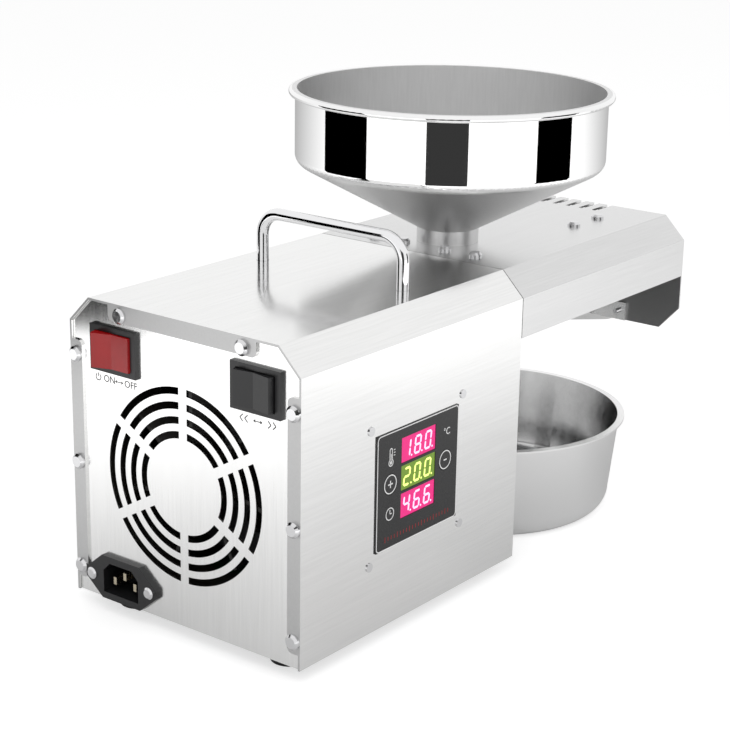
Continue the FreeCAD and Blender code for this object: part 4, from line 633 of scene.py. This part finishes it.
def floor_material():
    """White floor: a plain diffuse surface, plus the white that camera and transmission rays see; to
    mirrors it shows painted shade, darker near the housing and hood and behind the hopper as the lens
    looks.
    """
    made = Shader("floor_white", (0.62, 0.62, 0.62), roughness=1.0, Specular_IOR_Level=0.0)
    seen, path = seen_directly(made)
    # Painted shade seen only in mirrors: darker near the housing and hood, and behind the hopper.
    reflected_shade_near = made.spread(floor_distance(made), 0.12, 1.0, 0.0, 0.5)
    reflected_shade_behind = made.spread(behind_share(made), 1.0, 0.1, -0.15, 0.95)
    glossy = made.math("MULTIPLY", path.outputs["Is Glossy Ray"], made.math("MULTIPLY", reflected_shade_near, reflected_shade_behind))
    others = made.math("MULTIPLY", made.math("SUBTRACT", seen, path.outputs["Is Glossy Ray"]), 0.62)
    made.surface.inputs["Emission Color"].default_value = (1, 1, 1, 1)
    made.join(made.math("ADD", glossy, others), made.surface.inputs["Emission Strength"])
    return made.material


def stage_plane(name, corners, material):
    mesh = bpy.data.meshes.new(name)
    mesh.from_pydata([tuple(corner) for corner in corners], [], [tuple(range(len(corners)))])
    mesh.materials.append(material)
    plane = bpy.data.objects.new(name, mesh)
    bpy.context.scene.collection.objects.link(plane)


CARD_RADIUS = 0.32
CARD_HEIGHTS = (0.12, 0.26)
CARD_STEPS = 12


def dark_card(name, centre, start, stop, tone):
    """An upright dark card round the hopper, seen only in mirrors."""
    made = Shader(name, BLACK, roughness=1.0, Specular_IOR_Level=0.0)
    made.surface.inputs["Emission Color"].default_value = (tone, tone, tone, 1)
    made.surface.inputs["Emission Strength"].default_value = 1
    verts = []
    for k in range(CARD_STEPS + 1):
        angle = math.radians(start + (stop - start) * k / CARD_STEPS)
        across, along = CARD_RADIUS * math.cos(angle), CARD_RADIUS * math.sin(angle)
        for height in CARD_HEIGHTS:
            verts.append((centre[0] + across, centre[1] + along, height))
    faces = [(2 * k, 2 * k + 2, 2 * k + 3, 2 * k + 1) for k in range(CARD_STEPS)]
    mesh = bpy.data.meshes.new(name)
    mesh.from_pydata(verts, [], faces)
    mesh.materials.append(made.material)
    card = bpy.data.objects.new(name, mesh)
    bpy.context.scene.collection.objects.link(card)
    card.visible_camera = False
    card.visible_diffuse = False
    card.visible_shadow = False
    card.visible_transmission = False


def studio():
    """White room, soft lamps, and the dark cards that give polished steel its bands."""
    world = bpy.data.worlds.new("studio")
    bpy.context.scene.world = world
    world.use_nodes = True
    tree = world.node_tree
    tree.nodes.clear()
    out = tree.nodes.new("ShaderNodeOutputWorld")
    back = tree.nodes.new("ShaderNodeBackground")
    back.inputs["Color"].default_value = (1, 1, 1, 1)
    path = tree.nodes.new("ShaderNodeLightPath")
    link = tree.links.new
    either = tree.nodes.new("ShaderNodeMath")
    either.operation = "MAXIMUM"
    link(path.outputs["Is Camera Ray"], either.inputs[0])
    link(path.outputs["Is Glossy Ray"], either.inputs[1])
    seen = tree.nodes.new("ShaderNodeMath")
    seen.operation = "MAXIMUM"
    link(either.outputs[0], seen.inputs[0])
    link(path.outputs["Is Transmission Ray"], seen.inputs[1])
    strength = tree.nodes.new("ShaderNodeMapRange")
    strength.inputs["To Min"].default_value = 0.55
    strength.inputs["To Max"].default_value = 1.0
    link(seen.outputs[0], strength.inputs["Value"])
    link(strength.outputs["Result"], back.inputs["Strength"])
    link(back.outputs["Background"], out.inputs["Surface"])

    floor = [(-4, -4, 0), (4, -4, 0), (4, 4, 0), (-4, 4, 0)]
    stage_plane("floor", floor, floor_material())
    light("key", (-0.9, -0.7, 1.5), (0.05, 0, 0.1), (1.0, 1.0), 9)
    light("fill", (0.9, -1.2, 1.0), (0.1, 0, 0.1), (1.2, 1.2), 4)
    low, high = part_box("hopper")
    centre = ((low.x + high.x) / 2, (low.y + high.y) / 2)
    dark_card("card_right", centre, -88, -59, 0.0)
    dark_card("card_left", centre, 124, 161, 0.0)
    dark_card("card_middle", centre, -159.5, -133.5, 0.04)


def camera():
    """A long lens looking down a little at the rear corner, with a slight roll."""
    azimuth, elevation, roll = math.radians(-52.27), math.radians(17.47), math.radians(0.94)
    back = Vector((math.sin(azimuth) * math.cos(elevation), -math.cos(azimuth) * math.cos(elevation),
                   math.sin(elevation)))
    right = Vector((math.cos(azimuth), math.sin(azimuth), 0))
    up = back.cross(right)
    across = right * math.cos(roll) + up * math.sin(roll)
    high = up * math.cos(roll) - right * math.sin(roll)
    lens = bpy.data.cameras.new("camera")
    lens.lens = 92.85
    lens.sensor_width = 36
    holder = bpy.data.objects.new("camera", lens)
    turn = Matrix((across, high, back)).transposed().to_4x4()
    holder.matrix_world = Matrix.Translation((-0.7117, -0.5918, 0.4152)) @ turn
    bpy.context.scene.collection.objects.link(holder)
    bpy.context.scene.camera = holder


dress_nodes()
dress_parts()
panel = display_face()
display_border(panel)
display_digits()
display_marks(panel)
back_face = rear_face()
power_marks(back_face)
mode_marks(back_face)
studio()
camera()
bpy.context.scene.view_settings.view_transform = "Standard"
